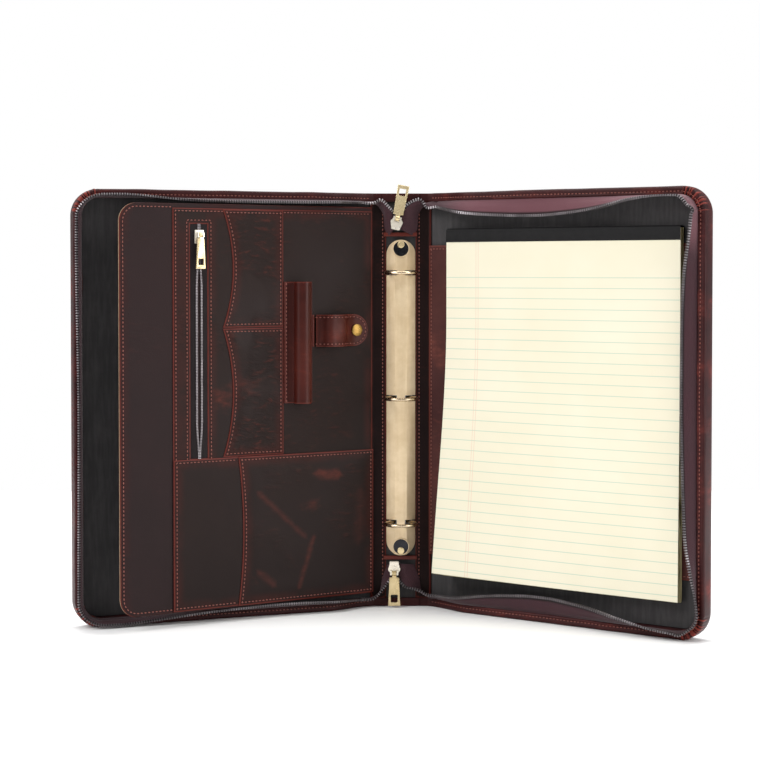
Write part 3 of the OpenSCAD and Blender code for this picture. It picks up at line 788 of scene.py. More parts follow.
RIM_PROFILE = [(14, -4.4), (8, -4.42), (4, -4.4), (1.7, -4.1), (0.5, -3.2), (0.05, -1.8), (-0.1, 2), (0, 6),
               (0, 9.4),
               (0.15, 11.0), (0.7, 11.9), (1.6, 12.2), (2.6, 12.15), (3.7, 12.05), (4.3, 11.75),
               (4.9, 11.75),
               (5.5, 12.0), (6.4, 11.8), (7.1, 11.0), (7.25, 9), (7.3, 3)]
SEAM_D = 4.6


def gathers(station, seed):
    """Pleats round the corners: their ridges, from -1 to 1, and how strongly they are drawn up."""
    rng = np.random.default_rng(seed)
    ridge, drawn = np.zeros_like(station), np.zeros_like(station)
    for corner in (1, 3):
        t = station - corner
        phase = t * 9.5 + 0.3 * np.sin(t * 17 + rng.uniform(0, 6)) + 0.2 * np.sin(t * 41)
        here = smooth(t, 0.0, 0.12) * (1 - smooth(t, 0.88, 1.0))
        ridge += (2 * np.abs(np.sin(math.pi * phase)) ** 0.6 - 1) * here
        drawn += here
    return ridge, drawn


def rim_height(n, s):
    """The rim's profile, lower near the hinge, where it runs out into the spine's flat lip."""
    return np.where(n > 0, n * rim_rise(s), n)


def cover_skin(page, seed):
    """The outer leather of a cover with its turned rim, gathered in pleats at the corners."""
    path = edge_path(PATH_START)
    station, s0, z0, out_s, out_z = (path[:, k, None] for k in range(5))
    profile = np.array(RIM_PROFILE)
    d, n = profile[None, :, 0], profile[None, :, 1]
    ridge, drawn = gathers(station, seed)
    front, inner = smooth(n, -1, 10), smooth(d, 0.5, 5)
    rough = relief(station * 40, d * 0, 3.1, seed) * front
    lift = ridge * (0.35 + 0.55 * inner) - 0.3 * drawn * inner
    n = rim_height(n, s0) + front * lift + 0.12 * relief(station * 55 + 0 * d, d * 2, 2.3, seed + 3) * front
    d = d - 0.4 * ridge * front * (1 - inner) + 0.25 * rough
    s, z = s0 - d * out_s, z0 - d * out_z
    grid = page.at(s, n, z)
    rows, cols = grid.shape[:2]
    normals = grid_normals(grid, flip=page is LEFT)
    if normals[0, 0] @ np.append(page.up, 0) > 0:
        normals = -normals
    faces = [tuple(f) for f in grid_faces(rows, cols)]
    faces.append(tuple(np.arange(rows)[::-1] * cols))
    length = np.cumsum(np.r_[0, np.hypot(np.diff(path[:, 1]), np.diff(path[:, 2]))])
    uv = np.stack(np.broadcast_arrays(length[:, None], d), -1).reshape(-1, 2)
    run = np.cumsum(np.r_[0, np.hypot(*np.diff(profile, axis=0).T)])
    # Not a cut edge: the distance is measured from a line along the rim's rounded outer roll, so the
    # burnished colour there is a painted highlight and the darker bands either side of it are painted shade.
    edge = np.broadcast_to(np.abs(run[-1] - run - 17.5)[None, :] + 1.0, (rows, cols))
    verts, faces = thicken(grid.reshape(-1, 3), normals.reshape(-1, 3), faces, 1.3)
    obj = make_object(page.body + "_skin", verts, faces, OUTER_LEATHER, np.tile(uv, (2, 1)), 50,
                      edge=np.tile(edge.ravel(), 2), ridge=np.tile((ridge * front).ravel(), 2))
    column = int(np.argmin(np.abs(profile[:, 0] - SEAM_D) - profile[:, 1]))
    return obj, page.at(s[:, column], n[:, column] + 0.3, z[:, column])


def cover_lining(page):
    z = corner_rows(RIM_W, CASE_H - RIM_W, CORNER_R - RIM_W, 40)
    out = COVER_W - RIM_W - corner_reach(z, RIM_W, CASE_H - RIM_W, CORNER_R - RIM_W)
    return panel(page.body + "_lining_cloth", page, 1.5, out, z, -0.25, 0.5, LINING, count=40, seed=5)


TAPE_LEAN = {
    LEFT_SIDE: [(0, .05), (.3, .12), (.7, .05), (.93, -.22), (1, -.2), (1.6, -.3), (2.05, -.5), (2.5, -.4),
                (2.9, -.44),
                (3.0, -.45), (3.3, -.4), (3.6, -.34), (4, -.36), (4.08, -.38), (4.2, -.2), (4.45, .1),
                (4.75, .2),
                (4.9, .1), (5, -.05)],
    RIGHT_SIDE: [(0, .35), (.12, .75), (.28, .97), (.5, 1), (.7, .66), (.82, .2), (.93, 0), (1, 0),
                 (1.6, .2), (2, .05),
                 (2.08, .3), (2.13, .5), (2.2, .66), (2.35, .76), (2.5, .76), (2.61, .66), (2.74, .52),
                 (2.83, .35),
                 (2.9, .0), (2.96, -.3), (3.1, -.36), (3.5, -.2), (4, -.1), (4.09, .02), (4.2, .35),
                 (4.34, .8),
                 (4.48, 1), (4.61, 1), (4.76, .8), (4.87, .5), (5, .25)],
}
TAPE_START = 12.0
TAPE_CUT = 14  # the zip tapes' width in their flat patterns; the built tapes are narrower where they taper


def tape_lines(side, station, s0):
    """Inset and height of the tape's root and of its toothed edge at each station."""
    lean = through(*zip(*TAPE_LEAN[side]), station)
    rise = rim_rise(s0)
    root_n = RIM_H * rise - 2.2
    edge_d = RIM_W + 0.6 + 13 * lean
    edge_n = RIM_H * rise - 0.6 + 9.5 * np.sqrt(np.maximum(1 - lean * lean, 0)) * (0.4 + 0.6 * rise)
    return RIM_W + 0.2, root_n, edge_d, edge_n


def cover_tape(page, side):
    """The zip tape along the rim and the line that its teeth follow."""
    path = edge_path(TAPE_START, 30)
    station, s0, z0, out_s, out_z = (path[:, k] for k in range(5))
    root_d, root_n, edge_d, edge_n = tape_lines(side, station, s0)
    t = np.linspace(0, 1, 8)[None, :]
    bow = np.sin(math.pi * t)
    d = root_d + (edge_d - root_d)[:, None] * t**1.5
    n = root_n[:, None] + (edge_n - root_n)[:, None] * t + 1.2 * bow
    s, z = s0[:, None] - d * out_s[:, None], z0[:, None] - d * out_z[:, None]
    length = np.cumsum(np.r_[0, np.hypot(np.diff(s0), np.diff(z0))])
    obj = sheet(page.body + "_zip_cloth", page.at(s, n, z), 0.7, TAPE,
                (length[:, None] + 0 * t, TAPE_CUT * t + 0 * s),
                flip=page is LEFT)
    line = page.at(s[:, -1], n[:, -1], z[:, -1])
    inside = page.at(s[:, -3], n[:, -3], z[:, -3])
    return obj, line, line - inside


def zip_teeth_row(name, lines, reaches):
    return TOOTH_ROWS.grow(name, lines, TEETH, reaches, smooth_shade=False, Pitch=2.1, Reach=2.2,
                           Thickness=1.7,
                           Length=1.0)


covers = {}
for side, page in ((LEFT_SIDE, LEFT), (RIGHT_SIDE, RIGHT)):
    body = page.body
    word = body.split("_")[0]
    skin, seam = cover_skin(page, 11 + side)
    finish_piece(skin, page, "outer_leather", body + "_leather", word + "_rim")
    finish_piece(STITCHES.grow(body + "_rim_stitches", [seam], THREAD, **STITCH_SIZE), page, "outer_leather")
    lining = finish_piece(cover_lining(page), page, "lining", body + "_lining")
    cut_cloth(lining, "stretched", body + "_board")
    cloth, line, reach = cover_tape(page, side)
    finish_piece(cloth, page, "zip_tape", word + "_zip_tape")
    cut_cloth(cloth, "hung", body + "_skin")
    finish_piece(zip_teeth_row(body + "_zip_row", [line], [reach]), page, "zip_teeth", word + "_zip_teeth")
    covers[side] = dict(line=line)


# ---- Spine and its folds -------------------------------------------------------------------------

def turned_rows():
    """Heights and depths round the spine's leather: from the front lip over the top, down the back and up."""
    lip = [(d, rim_height(n, PATH_START)) for d, n in RIM_PROFILE[1:]]
    top = [(CASE_H - a, b) for a, b in lip[::-1]]
    middle = [(z, -4.4) for z in np.linspace(CASE_H - 20, 20, 30)]
    return np.array(top + middle + lip, float)


def spine_skin():
    rows = turned_rows()
    x = np.linspace(-17, 17, 12)
    grid = SPINE.at(x[None, :], rows[:, 1, None], rows[:, 0, None])
    uv = (x[None, :] + 0 * rows[:, :1],
          np.cumsum(np.r_[0, np.hypot(*np.diff(rows, axis=0).T)])[:, None] + 0 * x)
    edge = np.full(grid.shape[:2], 12.0)
    return sheet("spine_skin", grid, 1.4, OUTER_LEATHER, uv, edge, flip=True)


def fold_columns(page, side, rows, cover_reach, spine_reach, facing=1):
    """A skin from the cover round the hinge line and on to the spine, and its outward ways."""
    n, z = rows[:, 1], rows[:, 0]
    base = page.at(0, 0, 0)[:2]
    columns = [page.at(s, n, z) for s in np.linspace(cover_reach, 0, 6)[:-1]]
    ups = [page.up] * len(columns)
    for t in np.linspace(0, 1, 7):
        up = page.up * (1 - t) + SPINE.up * t
        up = up / np.linalg.norm(up)
        xy = base + n[:, None] * up
        columns.append(np.concatenate([xy, z[:, None]], 1))
        ups.append(up)
    for x in np.linspace(HINGE_X, spine_reach, 5)[1:]:
        columns.append(SPINE.at(side * x, n, z))
        ups.append(SPINE.up)
    along = np.gradient(rows, axis=0)
    along = facing * along / np.linalg.norm(along, axis=1, keepdims=True)
    sideways = along[:, None, :1] * np.array(ups)[None]
    upright = np.broadcast_to(-along[:, None, 1:], sideways.shape[:2] + (1,))
    return np.stack(columns, 1), np.concatenate([sideways, upright], -1)


def blend_over(obj, page, side, spine_x=20.0, cover_s=6.0, nodes=()):
    start = SPINE.at(side * spine_x, 0, CASE_H / 2) * MM
    end = page.at(cover_s, 0, CASE_H / 2) * MM
    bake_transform(obj)
    if nodes:
        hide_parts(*nodes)
    return obj


finish_piece(spine_skin(), "spine", "outer_leather", "spine_leather")
x_strip = np.linspace(-22.5, 22.5, 16)
z_strip = np.linspace(1, CASE_H - 1, 40)
spine_cloth = sheet("spine_lining_cloth", SPINE.at(x_strip[None, :], 0.05, z_strip[:, None]), 0.7, LINING,
                    (x_strip[None, :], z_strip[:, None]), flip=True)
finish_piece(spine_cloth, "spine", "lining", "spine_lining")
cut_cloth(spine_cloth, "stretched", "spine_board")
for side, page in ((LEFT_SIDE, LEFT), (RIGHT_SIDE, RIGHT)):
    rows = turned_rows()
    grid, outward = fold_columns(page, side, rows, PATH_START + 0.4, 16)
    across = np.cumsum(np.r_[0, np.linalg.norm(np.diff(grid[20], axis=0), axis=1)])
    down = np.cumsum(np.r_[0, np.hypot(*np.diff(rows, axis=0).T)])
    uv = (across[None, :] + 0 * down[:, None], down[:, None] + 0 * across)
    fold = sheet(page.body + "_outer_fold", grid, 1.4, OUTER_LEATHER, uv, np.full(grid.shape[:2], 12.0),
                 normals=outward)
    blend_over(fold, page, side)
    heights = np.linspace(CASE_H - 7, 7, 60)
    inner = np.stack([heights, 0 * heights + 1.7], 1)
    grid, outward = fold_columns(page, side, inner, 3, 12.8, -1)
    wave = 0.35 * relief(grid[..., 0], grid[..., 2], 16, 3 + side)
    grid = grid - wave[..., None] * np.array([0, 1, 0]) * smooth(edge_distance(grid), 0, 4)[..., None]
    across = np.cumsum(np.r_[0, np.linalg.norm(np.diff(grid[20], axis=0), axis=1)])
    uv = (across[None, :] + 0 * heights[:, None], heights[:, None] + 0 * across)
    strip = sheet(page.body + "_inner_fold", grid, 1.5, STRIP_LEATHER, uv, normals=outward)
    blend_over(strip, page, side,
               nodes=[("left" if side < 0 else "right") + "_hinge_strip"])
    seam_x = side * 15.8
    seam = SPINE.at(seam_x, 1.75, np.linspace(CASE_H - 12, 12, 80))
    finish_piece(STITCHES.grow(page.body + "_strip_stitches", [seam], THREAD, **STITCH_SIZE), "spine",
                 "inner_leather")


# ---- Zip ends: from the covers down to the sliders on the spine ----------------------------------

def zip_end(page, side, high, name, slider, gusset_foot):
    """The tape that crosses the hinge from a cover's rim to a slider, and its teeth."""
    k = 0 if high else -1
    cover_edge = covers[side]["line"][k]
    path = edge_path(TAPE_START, 30)
    root_d, root_n, _, _ = tape_lines(side, path[:, 0], path[:, 1])
    rim_z = CASE_H - root_d if high else root_d
    way = 1 if high else -1
    rim = page.at(TAPE_START, root_n[k], rim_z)
    edge_line = curve_through([
        cover_edge,
        page.at(4, 9.5, cover_edge[2] - way * 0.5),
        SPINE.at(side * 17, 10.0, slider[2] + way * 11.5),
        SPINE.at(slider[0] + side * 7.5, 8.6, slider[2] + way * 6.5),
        SPINE.at(slider[0] + side * 2.2, 6.0, slider[2]),
        SPINE.at(slider[0] + side * 0.8, 4.6, slider[2] - way * 12),
    ], 34)
    root_line = curve_through([
        rim, page.at(3, 2.6, rim_z), SPINE.at(side * 19, 2.6, rim_z - way * 4),
        SPINE.at(side * 15.5, 2.4, slider[2] + way * 1), SPINE.at(side * 13.5, 2.4, gusset_foot + way * 6),
        SPINE.at(side * 11, 2.4, gusset_foot),
    ], 34)
    t = np.linspace(0, 1, 8)[None, :, None]
    grid = root_line[:, None] * (1 - t) + edge_line[:, None] * t
    grid[..., 1] -= 1.6 * np.sin(math.pi * t[..., 0])
    length = np.cumsum(np.r_[0, np.linalg.norm(np.diff(edge_line, axis=0), axis=1)])
    cloth = sheet(name + "_cloth", grid, 0.7, TAPE,
                  (length[:, None] + 0 * t[..., 0], TAPE_CUT * t[..., 0] + 0 * length[:, None]),
                  flip=(side < 0) == high)
    teeth = zip_teeth_row(name + "_row", [edge_line], [edge_line - grid[:, -3]])
    return cloth, teeth


def slider_mouth(node):
    low, high = (np.array(v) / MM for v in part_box(node))
    return (low + high) / 2, low, high


for high, node, gusset in ((True, "top_slider", "top_zip_gusset"),
                           (False, "bottom_slider", "bottom_zip_gusset")):
    middle, low, top = slider_mouth(node)
    mouth = np.array([middle[0], middle[1], top[2] if high else low[2]])
    foot = (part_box(gusset)[0][2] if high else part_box(gusset)[1][2]) / MM
    for side, page in ((LEFT_SIDE, LEFT), (RIGHT_SIDE, RIGHT)):
        name = ("top" if high else "bottom") + "_" + page.body.split("_")[0] + "_zip_end"
        cloth, teeth = zip_end(page, side, high, name, mouth, foot)
        blend_over(cloth, page, side, 18, 10, [gusset])
        cut_cloth(cloth, "hung", node)
        blend_over(teeth, page, side, 18, 10)


# ---- Metal parts: the CAD shapes with their edges eased ------------------------------------------

def eased(node, material, slot, width, segments=3, sharp=30):
    """A copy of a CAD part with its edges rounded, in place of it."""
    source = frame["nodes"][node]
    mesh = source.data.copy()
    bm = bmesh.new()
    bm.from_mesh(mesh)
    bmesh.ops.remove_doubles(bm, verts=bm.verts, dist=2e-6)
    bmesh.ops.dissolve_limit(bm, angle_limit=math.radians(1), verts=bm.verts, edges=bm.edges)
    hard = [e for e in bm.edges if len(e.link_faces) == 2 and e.calc_face_angle(0) > math.radians(sharp)]
    bmesh.ops.bevel(bm, geom=hard, offset=width * MM, segments=segments, profile=0.5, affect="EDGES",
                    clamp_overlap=True)
    bm.to_mesh(mesh)
    bm.free()
    mesh.materials.clear()
    mesh.materials.append(material)
    for polygon in mesh.polygons:
        polygon.material_index = 0
    mesh.shade_smooth()
    mesh.set_sharp_from_angle(angle=math.radians(35))
    obj = bpy.data.objects.new(node + "_eased", mesh)
    bpy.context.scene.collection.objects.link(obj)
    return finish_piece(obj, source["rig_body"], slot, node)


def repaint(node, material):
    data = frame["nodes"][node]
    for k in range(max(1, len(data.material_slots))):
        if data.material_slots:
            data.material_slots[k].material = material
        else:
            data.data.materials.append(material)


eased("ring_cover_plate", BRASS, "antique_brass", 0.35)
for node in ("left_half_rings", "right_half_rings"):
    repaint(node, RING_BRASS)
for node in ("left_ring_blade", "right_ring_blade"):
    repaint(node, SPRING_STEEL)
for node in ("spine_board", "left_cover_board", "right_cover_board", "leaf_board"):
    repaint(node, BOARD)
repaint("pad_back", CARDBOARD)
eased("plate_rivets", GOLD_BRASS, "bright_brass", 0.35)
eased("pocket_slider", SLIDER_METAL, "slider_metal", 0.3)
for node in ("top_pull", "bottom_pull", "pocket_pull"):
    eased(node, GOLD_BRASS, "bright_brass", 0.28)
eased("snap_stud", SNAP_BRASS, "bright_brass", 0.2)
for node in ("top_end_strip", "bottom_end_strip", "strap_tab"):
    eased(node, TRIM_LEATHER, "trim_leather" if node == "strap_tab" else "inner_leather", 0.4)


def prism(bm, outline, n0, n1, place, bevel):
    """Adds a closed plate to a mesh: an outline of (x, z) between two heights, with eased edges."""
    part = bmesh.new()
    low, high = ([part.verts.new(place(x, n, z) * MM) for x, z in outline] for n in (n0, n1))
    part.faces.new(low[::-1])
    part.faces.new(high)
    for k in range(len(outline)):
        j = (k + 1) % len(outline)
        part.faces.new((low[k], low[j], high[j], high[k]))
    bmesh.ops.bevel(part, geom=part.edges[:], offset=bevel * MM, segments=2, affect="EDGES",
                    clamp_overlap=True)
    bmesh.ops.recalc_face_normals(part, faces=part.faces)
    mesh = bpy.data.meshes.new("part")
    part.to_mesh(mesh)
    part.free()
    bm.from_mesh(mesh)
    bpy.data.meshes.remove(mesh)


def circle(x, z, r, steps=28):
    a = np.linspace(0, 2 * math.pi, steps, endpoint=False)
    return list(zip(x + r * np.cos(a), z + r * np.sin(a)))


SHIELD = [(-3.8, 0), (3.8, 0), (4.1, 1.6), (4.0, 3.4), (5.5, 6.6), (4.6, 8.4), (2.6, 10.4), (1.2, 13.2),
          (-1.2, 13.2),
          (-2.6, 10.4), (-4.6, 8.4), (-5.5, 6.6), (-4.0, 3.4), (-4.1, 1.6)]
PIN_ALONG, PIN_UP = 9.72, 7.2


def shield_slider(node, joint):
    """A cast slider: a shield over a back plate on a post, with a round boss and the pull's bridge."""
    x_way = np.array(JOINTS[joint]["axis"], float)
    z_way = np.cross(x_way, (0, 1, 0))
    foot = joint_point(joint) - PIN_ALONG * z_way + np.array((0, PIN_UP, 0))
    place = lambda x, n, z: foot + x * x_way + z * z_way - np.array((0, n, 0))
    bm = bmesh.new()
    prism(bm, SHIELD, 0, 1.1, place, 0.3)
    prism(bm, SHIELD, 3.9, 5.2, place, 0.45)
    prism(bm, [(-1, 9.6), (1, 9.6), (1, 12.8), (-1, 12.8)], 0.8, 4.2, place, 0.1)
    prism(bm, circle(0, 5.2, 2.6), 4.9, 5.75, place, 0.25)
    prism(bm, circle(0, 5.2, 1.5), 5.5, 6.2, place, 0.3)
    for side in (-1, 1):
        x = side * 2.9
        prism(bm, [(x - 0.7, 7.2), (x + 0.7, 7.2), (x + 0.7, 11.2), (x - 0.7, 11.2)], 4.8, PIN_UP + 1.2,
              place, 0.3)
    prism(bm,
          [(-3.2, PIN_ALONG - 0.8), (3.2, PIN_ALONG - 0.8), (3.2, PIN_ALONG + 0.8), (-3.2, PIN_ALONG + 0.8)],
          PIN_UP - 0.8, PIN_UP + 0.8, place, 0.5)
    mesh = bpy.data.meshes.new(node + "_cast")
    bm.to_mesh(mesh)
    bm.free()
    mesh.materials.append(SLIDER_METAL)
    mesh.shade_smooth()
    mesh.set_sharp_from_angle(angle=math.radians(40))
    obj = bpy.data.objects.new(node + "_cast", mesh)
    bpy.context.scene.collection.objects.link(obj)
    finish_piece(obj, "spine", "slider_metal", node)


shield_slider("top_slider", "top_pull_hinge")
shield_slider("bottom_slider", "bottom_pull_hinge")


# ---- Organizer leaf ------------------------------------------------------------------------------

leaf_low, leaf_high = LEAF.extent("leaf_face")
LEAF_R = 15
seams = {"organizer_leaf": [], "right_cover": [], "strap": []}


def leaf_stitch(points, n, body="organizer_leaf", page=LEAF):
    pts = np.asarray(points, float)
    seams[body].append(page.at(pts[:, 0], n, pts[:, 1]))


def leaf_page(name, n_top, thickness, material, nodes):
    z = corner_rows(leaf_low[2], leaf_high[2], LEAF_R, 40)
    out = leaf_high[0] - corner_reach(z, leaf_low[2], leaf_high[2], LEAF_R)
    obj = panel(name, LEAF, leaf_low[0], out, z, n_top, thickness, material, count=44, swell=0.0, seed=21)
    return finish_piece(obj, LEAF, "inner_leather", *nodes)


def inset_outline(inset, s_in):
    """A stitch line inside the leaf's edge: along the top, round the corners and back along the bottom."""
    far, r = leaf_high[0], LEAF_R
    z0, z1 = leaf_low[2], leaf_high[2]
    arcs = [(far - r + (r - inset) * math.cos(a), z1 - r + (r - inset) * math.sin(a))
            for a in np.linspace(math.pi / 2, 0, 12)]
    arcs += [(far - r + (r - inset) * math.cos(a), z0 + r + (r - inset) * math.sin(a))
             for a in np.linspace(0, -math.pi / 2, 12)]
    return [(s_in, z1 - inset)] + arcs + [(s_in, z0 + inset)]


leaf_page("leaf_face_leather", leaf_high[1], 0.8, FACE_LEATHER, ["leaf_face"])
back_low, back_high = LEAF.extent("leaf_back")
z = corner_rows(back_low[2], back_high[2], LEAF_R, 40)
out = back_high[0] - corner_reach(z, back_low[2], back_high[2], LEAF_R)
obj = panel("leaf_back_leather", LEAF, back_low[0], out, z, back_high[1], back_high[1] - back_low[1],
            PANEL_LEATHER,
            count=44, seed=31)
finish_piece(obj, LEAF, "inner_leather", "leaf_back")
leaf_stitch(inset_outline(3.0, 190), leaf_high[1] + 0.2)

pocket_low, pocket_high = LEAF.extent("pocket_panel")
zip_low, zip_high = LEAF.extent("pocket_zip_tape")
window_s, window_z = (zip_low[0], zip_high[0]), (zip_low[2], zip_high[2])
pocket_span = pocket_high[0] - pocket_low[0]
frame_steps = np.array([0, 0.3, 0.8, 1.7, 3.0])
window = dict(
    s=window_s, h=window_z,
    t=(np.concatenate([window_s[0] - frame_steps, window_s[1] + frame_steps]) - pocket_low[0]) / pocket_span,
    z=np.concatenate([window_z[0] - frame_steps, window_z[1] + frame_steps]),
)
obj = panel("pocket_panel_leather", LEAF, pocket_low[0], pocket_high[0],
            spread(pocket_low[2], pocket_high[2], 60),
            pocket_high[1], 0.9, PANEL_LEATHER, count=40, seed=41, window=window)
finish_piece(obj, LEAF, "inner_leather", "pocket_panel")
face_n = pocket_high[1] + 0.2
leaf_stitch([(6, pocket_high[2] - 2.4), (pocket_high[0] - 2.4, pocket_high[2] - 2.4),
             (pocket_high[0] - 2.4, pocket_low[2] + 2.4), (6, pocket_low[2] + 2.4)], face_n)
leaf_stitch([(window_s[0] - 3, window_z[0]), (window_s[0] - 3, window_z[1] + 3),
             (window_s[1] + 3, window_z[1] + 3),
             (window_s[1] + 3, window_z[0])], face_n)

lower_low, lower_high = LEAF.extent("lower_panel")
obj = panel("lower_panel_leather", LEAF, lower_low[0], lower_high[0],
            spread(lower_low[2], lower_high[2], 40),
            lower_high[1], 0.9, SCUFFED_SHEEN_LEATHER, count=44, seed=51)
finish_piece(obj, LEAF, "inner_leather", "lower_panel")
lower_n = lower_high[1] + 0.2
leaf_stitch([(lower_high[0] - 2.6, lower_low[2] + 2.4), (lower_high[0] - 2.6, lower_high[2] - 2.4),
             (134, lower_high[2] - 2.4)], lower_n)
leaf_stitch([(lower_high[0] - 2.6, lower_low[2] + 2.6), (134, lower_low[2] + 2.6)], lower_n)


def dipped(z, z0, z1, edge, dip):
    """The open edge of a pocket: it dips in along an arc between its two ends."""
    t = (np.asarray(z, float) - (z0 + z1) / 2) / ((z1 - z0) / 2)
    return edge - dip * (1 - t * t)


def open_pocket(name, node, dip, seed, swell, leather):
    low, high = LEAF.extent(node)
    z = spread(low[2], high[2], 44)
    edge = dipped(z, low[2], high[2], high[0], dip)
    obj = panel(name, LEAF, low[0], edge, z, high[1], 0.9, leather, count=32, seed=seed, swell=swell)
    finish_piece(obj, LEAF, "inner_leather", node)
    inset = 2.6
    z_in = np.linspace(low[2] + inset, high[2] - inset, 30)
    arc = np.stack([dipped(z_in, low[2], high[2], high[0], dip) - inset, z_in], 1)
    n = high[1] + 0.2
    leaf_stitch(arc, n + swell * 0.1)
    leaf_stitch([(low[0] + inset, high[2] - inset), (arc[-1][0], high[2] - inset)], n)
    leaf_stitch([(low[0] + inset, low[2] + inset), (arc[0][0], low[2] + inset)], n)
    leaf_stitch([(low[0] + inset, low[2] + inset), (low[0] + inset, high[2] - inset)], n)


open_pocket("upper_card_leather", "upper_card_pocket", 9, 61, 0.5, CREASED_LEATHER)
open_pocket("lower_card_leather", "lower_card_pocket", 9, 71, 0.5, CREASED_LEATHER)
open_pocket("phone_pocket_leather", "phone_pocket", 4.3, 81, 0.8, SCUFFED_SHEEN_LEATHER)


def pocket_zip():
    """The zip pocket's two tapes, parted a little below the slider, with a row of teeth on each."""
    slider = LEAF.extent("pocket_slider")
    middle = (slider[0][0] + slider[1][0]) / 2
    z = np.linspace(window_z[0] + 0.3, window_z[1] - 0.3, 60)
    top = slider[0][2] + 2
    gap = 0.5 + 1.7 * smooth(top - z, 4, 40) * smooth(z, window_z[0], window_z[0] + 30)
    base = leaf_high[1]
    for name, way, outer in (("inner", -1, window_s[0] + 0.1), ("outer", 1, window_s[1] - 0.1)):
        inner_edge = middle + way * gap
        t = np.linspace(0, 1, 5)[None, :]
        s = outer + (inner_edge[:, None] - outer) * t
        n = base + 0.55 + 0.5 * t + 0.1 * relief(s, z[:, None], 12, 5)
        strip = sheet("pocket_zip_cloth_" + name, LEAF.at(s, n, z[:, None]), 0.5, TAPE,
                      (s, z[:, None] + 0 * s),
                      flip=way > 0)
        finish_piece(strip, LEAF, "zip_tape", "pocket_zip_tape")
        line = LEAF.at(inner_edge, base + 1.1, z)
        row = TOOTH_ROWS.grow("pocket_zip_row_" + name, [line], TEETH,
                              [np.tile(np.append(LEAF.along, 0), (60, 1))],
                              smooth_shade=False, Pitch=1.25, Reach=1.5, Thickness=1.0, Length=0.75)
        finish_piece(row, LEAF, "zip_teeth", "pocket_zip_teeth")


pocket_zip()


def pen_loop():
    """The stitched tube that holds a pen: one strip of leather wrapped round and sewn down on both sides."""
    low, high = LEAF.extent("pen_loop")
    bore = np.array(MOUNTS["pen_loop_bore"]["pos_m"]) / MM
    r = MOUNTS["pen_loop_bore"]["dims"]["r_mm"] + 1.3
    flat = bore[:2] - LEAF.origin
    s_c, n_c = flat @ LEAF.along, flat @ LEAF.up
    base = low[1] + 1.15
    turn = np.radians(np.linspace(-38, 218, 40))
    profile = [(high[0], base), (s_c + r * 1.25, base)]
    profile += [(s_c + r * math.cos(a),
                 n_c + r * math.sin(a)) for a in turn if n_c + r * math.sin(a) > base + 0.6]
    profile += [(s_c - r * 1.15, base), (low[0], base)]
    profile = curve_through(profile, 60)
    z = spread(low[2], high[2], 40)
    s, n = profile[None, :, 0], profile[None, :, 1]
    away = n - base
    n = n + 0.12 * relief(s * 2 + 0 * z[:, None], z[:, None], 22, 9) * smooth(away, 0, 5)
    grid = LEAF.at(s + 0 * n, n, z[:, None])
    run = np.cumsum(np.r_[0, np.hypot(*np.diff(profile, axis=0).T)])
    obj = sheet("pen_loop_leather", grid, 1.1, TRIM_LEATHER, (run[None, :] + 0 * n, z[:, None] + 0 * n),
                flip=True, sharp=60)
    finish_piece(obj, LEAF, "trim_leather", "pen_loop")
    for s_line in (high[0] - 1.6, low[0] + 1.2):
        leaf_stitch([(s_line, low[2] + 2), (s_line, high[2] - 2)], base + 0.1)


pen_loop()


def cable_strap():
    """The snap strap: it rises over the bundle and lies flat under its snap, with a round end."""
    low, high = LEAF.extent("cable_strap")
    cap = LEAF.extent("snap_cap")
    r = (high[2] - low[2]) / 2
    z_c = (high[2] + low[2]) / 2
    line = curve_through([(high[0], low[1] + 1.4), (high[0] - 4, low[1] + 3.6), (49, high[1] - 0.8),
                          (41, high[1]),
                          (34, high[1] - 1.2), (28.5, cap[0][1] + 1.6), (24.5, cap[0][1] + 0.1),
                          (low[0], cap[0][1] - 0.05)], 60)
    t = spread(-1, 1, 16, np.array(EDGE_STEPS) / r)
    s, n = line[:, 0, None], line[:, 1, None]
    into = np.clip(low[0] + r - s, 0, r)
    half = np.sqrt(np.maximum(r * r - into * into, 0.01))
    zz = z_c + half * t[None, :]
    n = n + 0.5 * relief(s + 0 * zz, zz, 11, 14) * smooth(n - cap[0][1], 1, 5)
    grid = LEAF.at(s + 0 * zz, n, zz)
    obj = sheet("cable_strap_leather", grid, 1.3, TRIM_LEATHER, (s + 0 * zz, zz), flip=False, sharp=60)
    finish_piece(obj, "strap", "trim_leather", "cable_strap")
    inset = 2.2
    span = line[line[:, 0] > low[0] + r]
    for way in (-1, 1):
        seams["strap"].append(LEAF.at(span[:, 0], span[:, 1] + 0.1, z_c + way * (r - inset)))
    a = np.linspace(-math.pi / 2, math.pi / 2, 24)
    seams["strap"].append(LEAF.at(low[0] + r - (r - inset) * np.cos(a), cap[0][1] + 0.1,
                                  z_c + (r - inset) * np.sin(a)))


cable_strap()


def turned_button(name, page, s, z, n0, profile, material, steps=40):
    """A round part turned about the page's normal, from a profile of radius and height."""
    radius, height = np.array(profile, float).T
    a = np.linspace(0, 2 * math.pi, steps, endpoint=False)
    grid = page.at(s + radius[:, None] * np.cos(a), n0 + height[:, None] + 0 * a,
                   z + radius[:, None] * np.sin(a))
    verts = grid.reshape(-1, 3)
    faces = [tuple(f) for f in grid_faces(len(radius), steps, loop=True)]
    faces += [tuple(range(steps)), tuple(range((len(radius) - 1) * steps, len(radius) * steps))]
    return make_object(name, verts, faces, material, sharp=35)


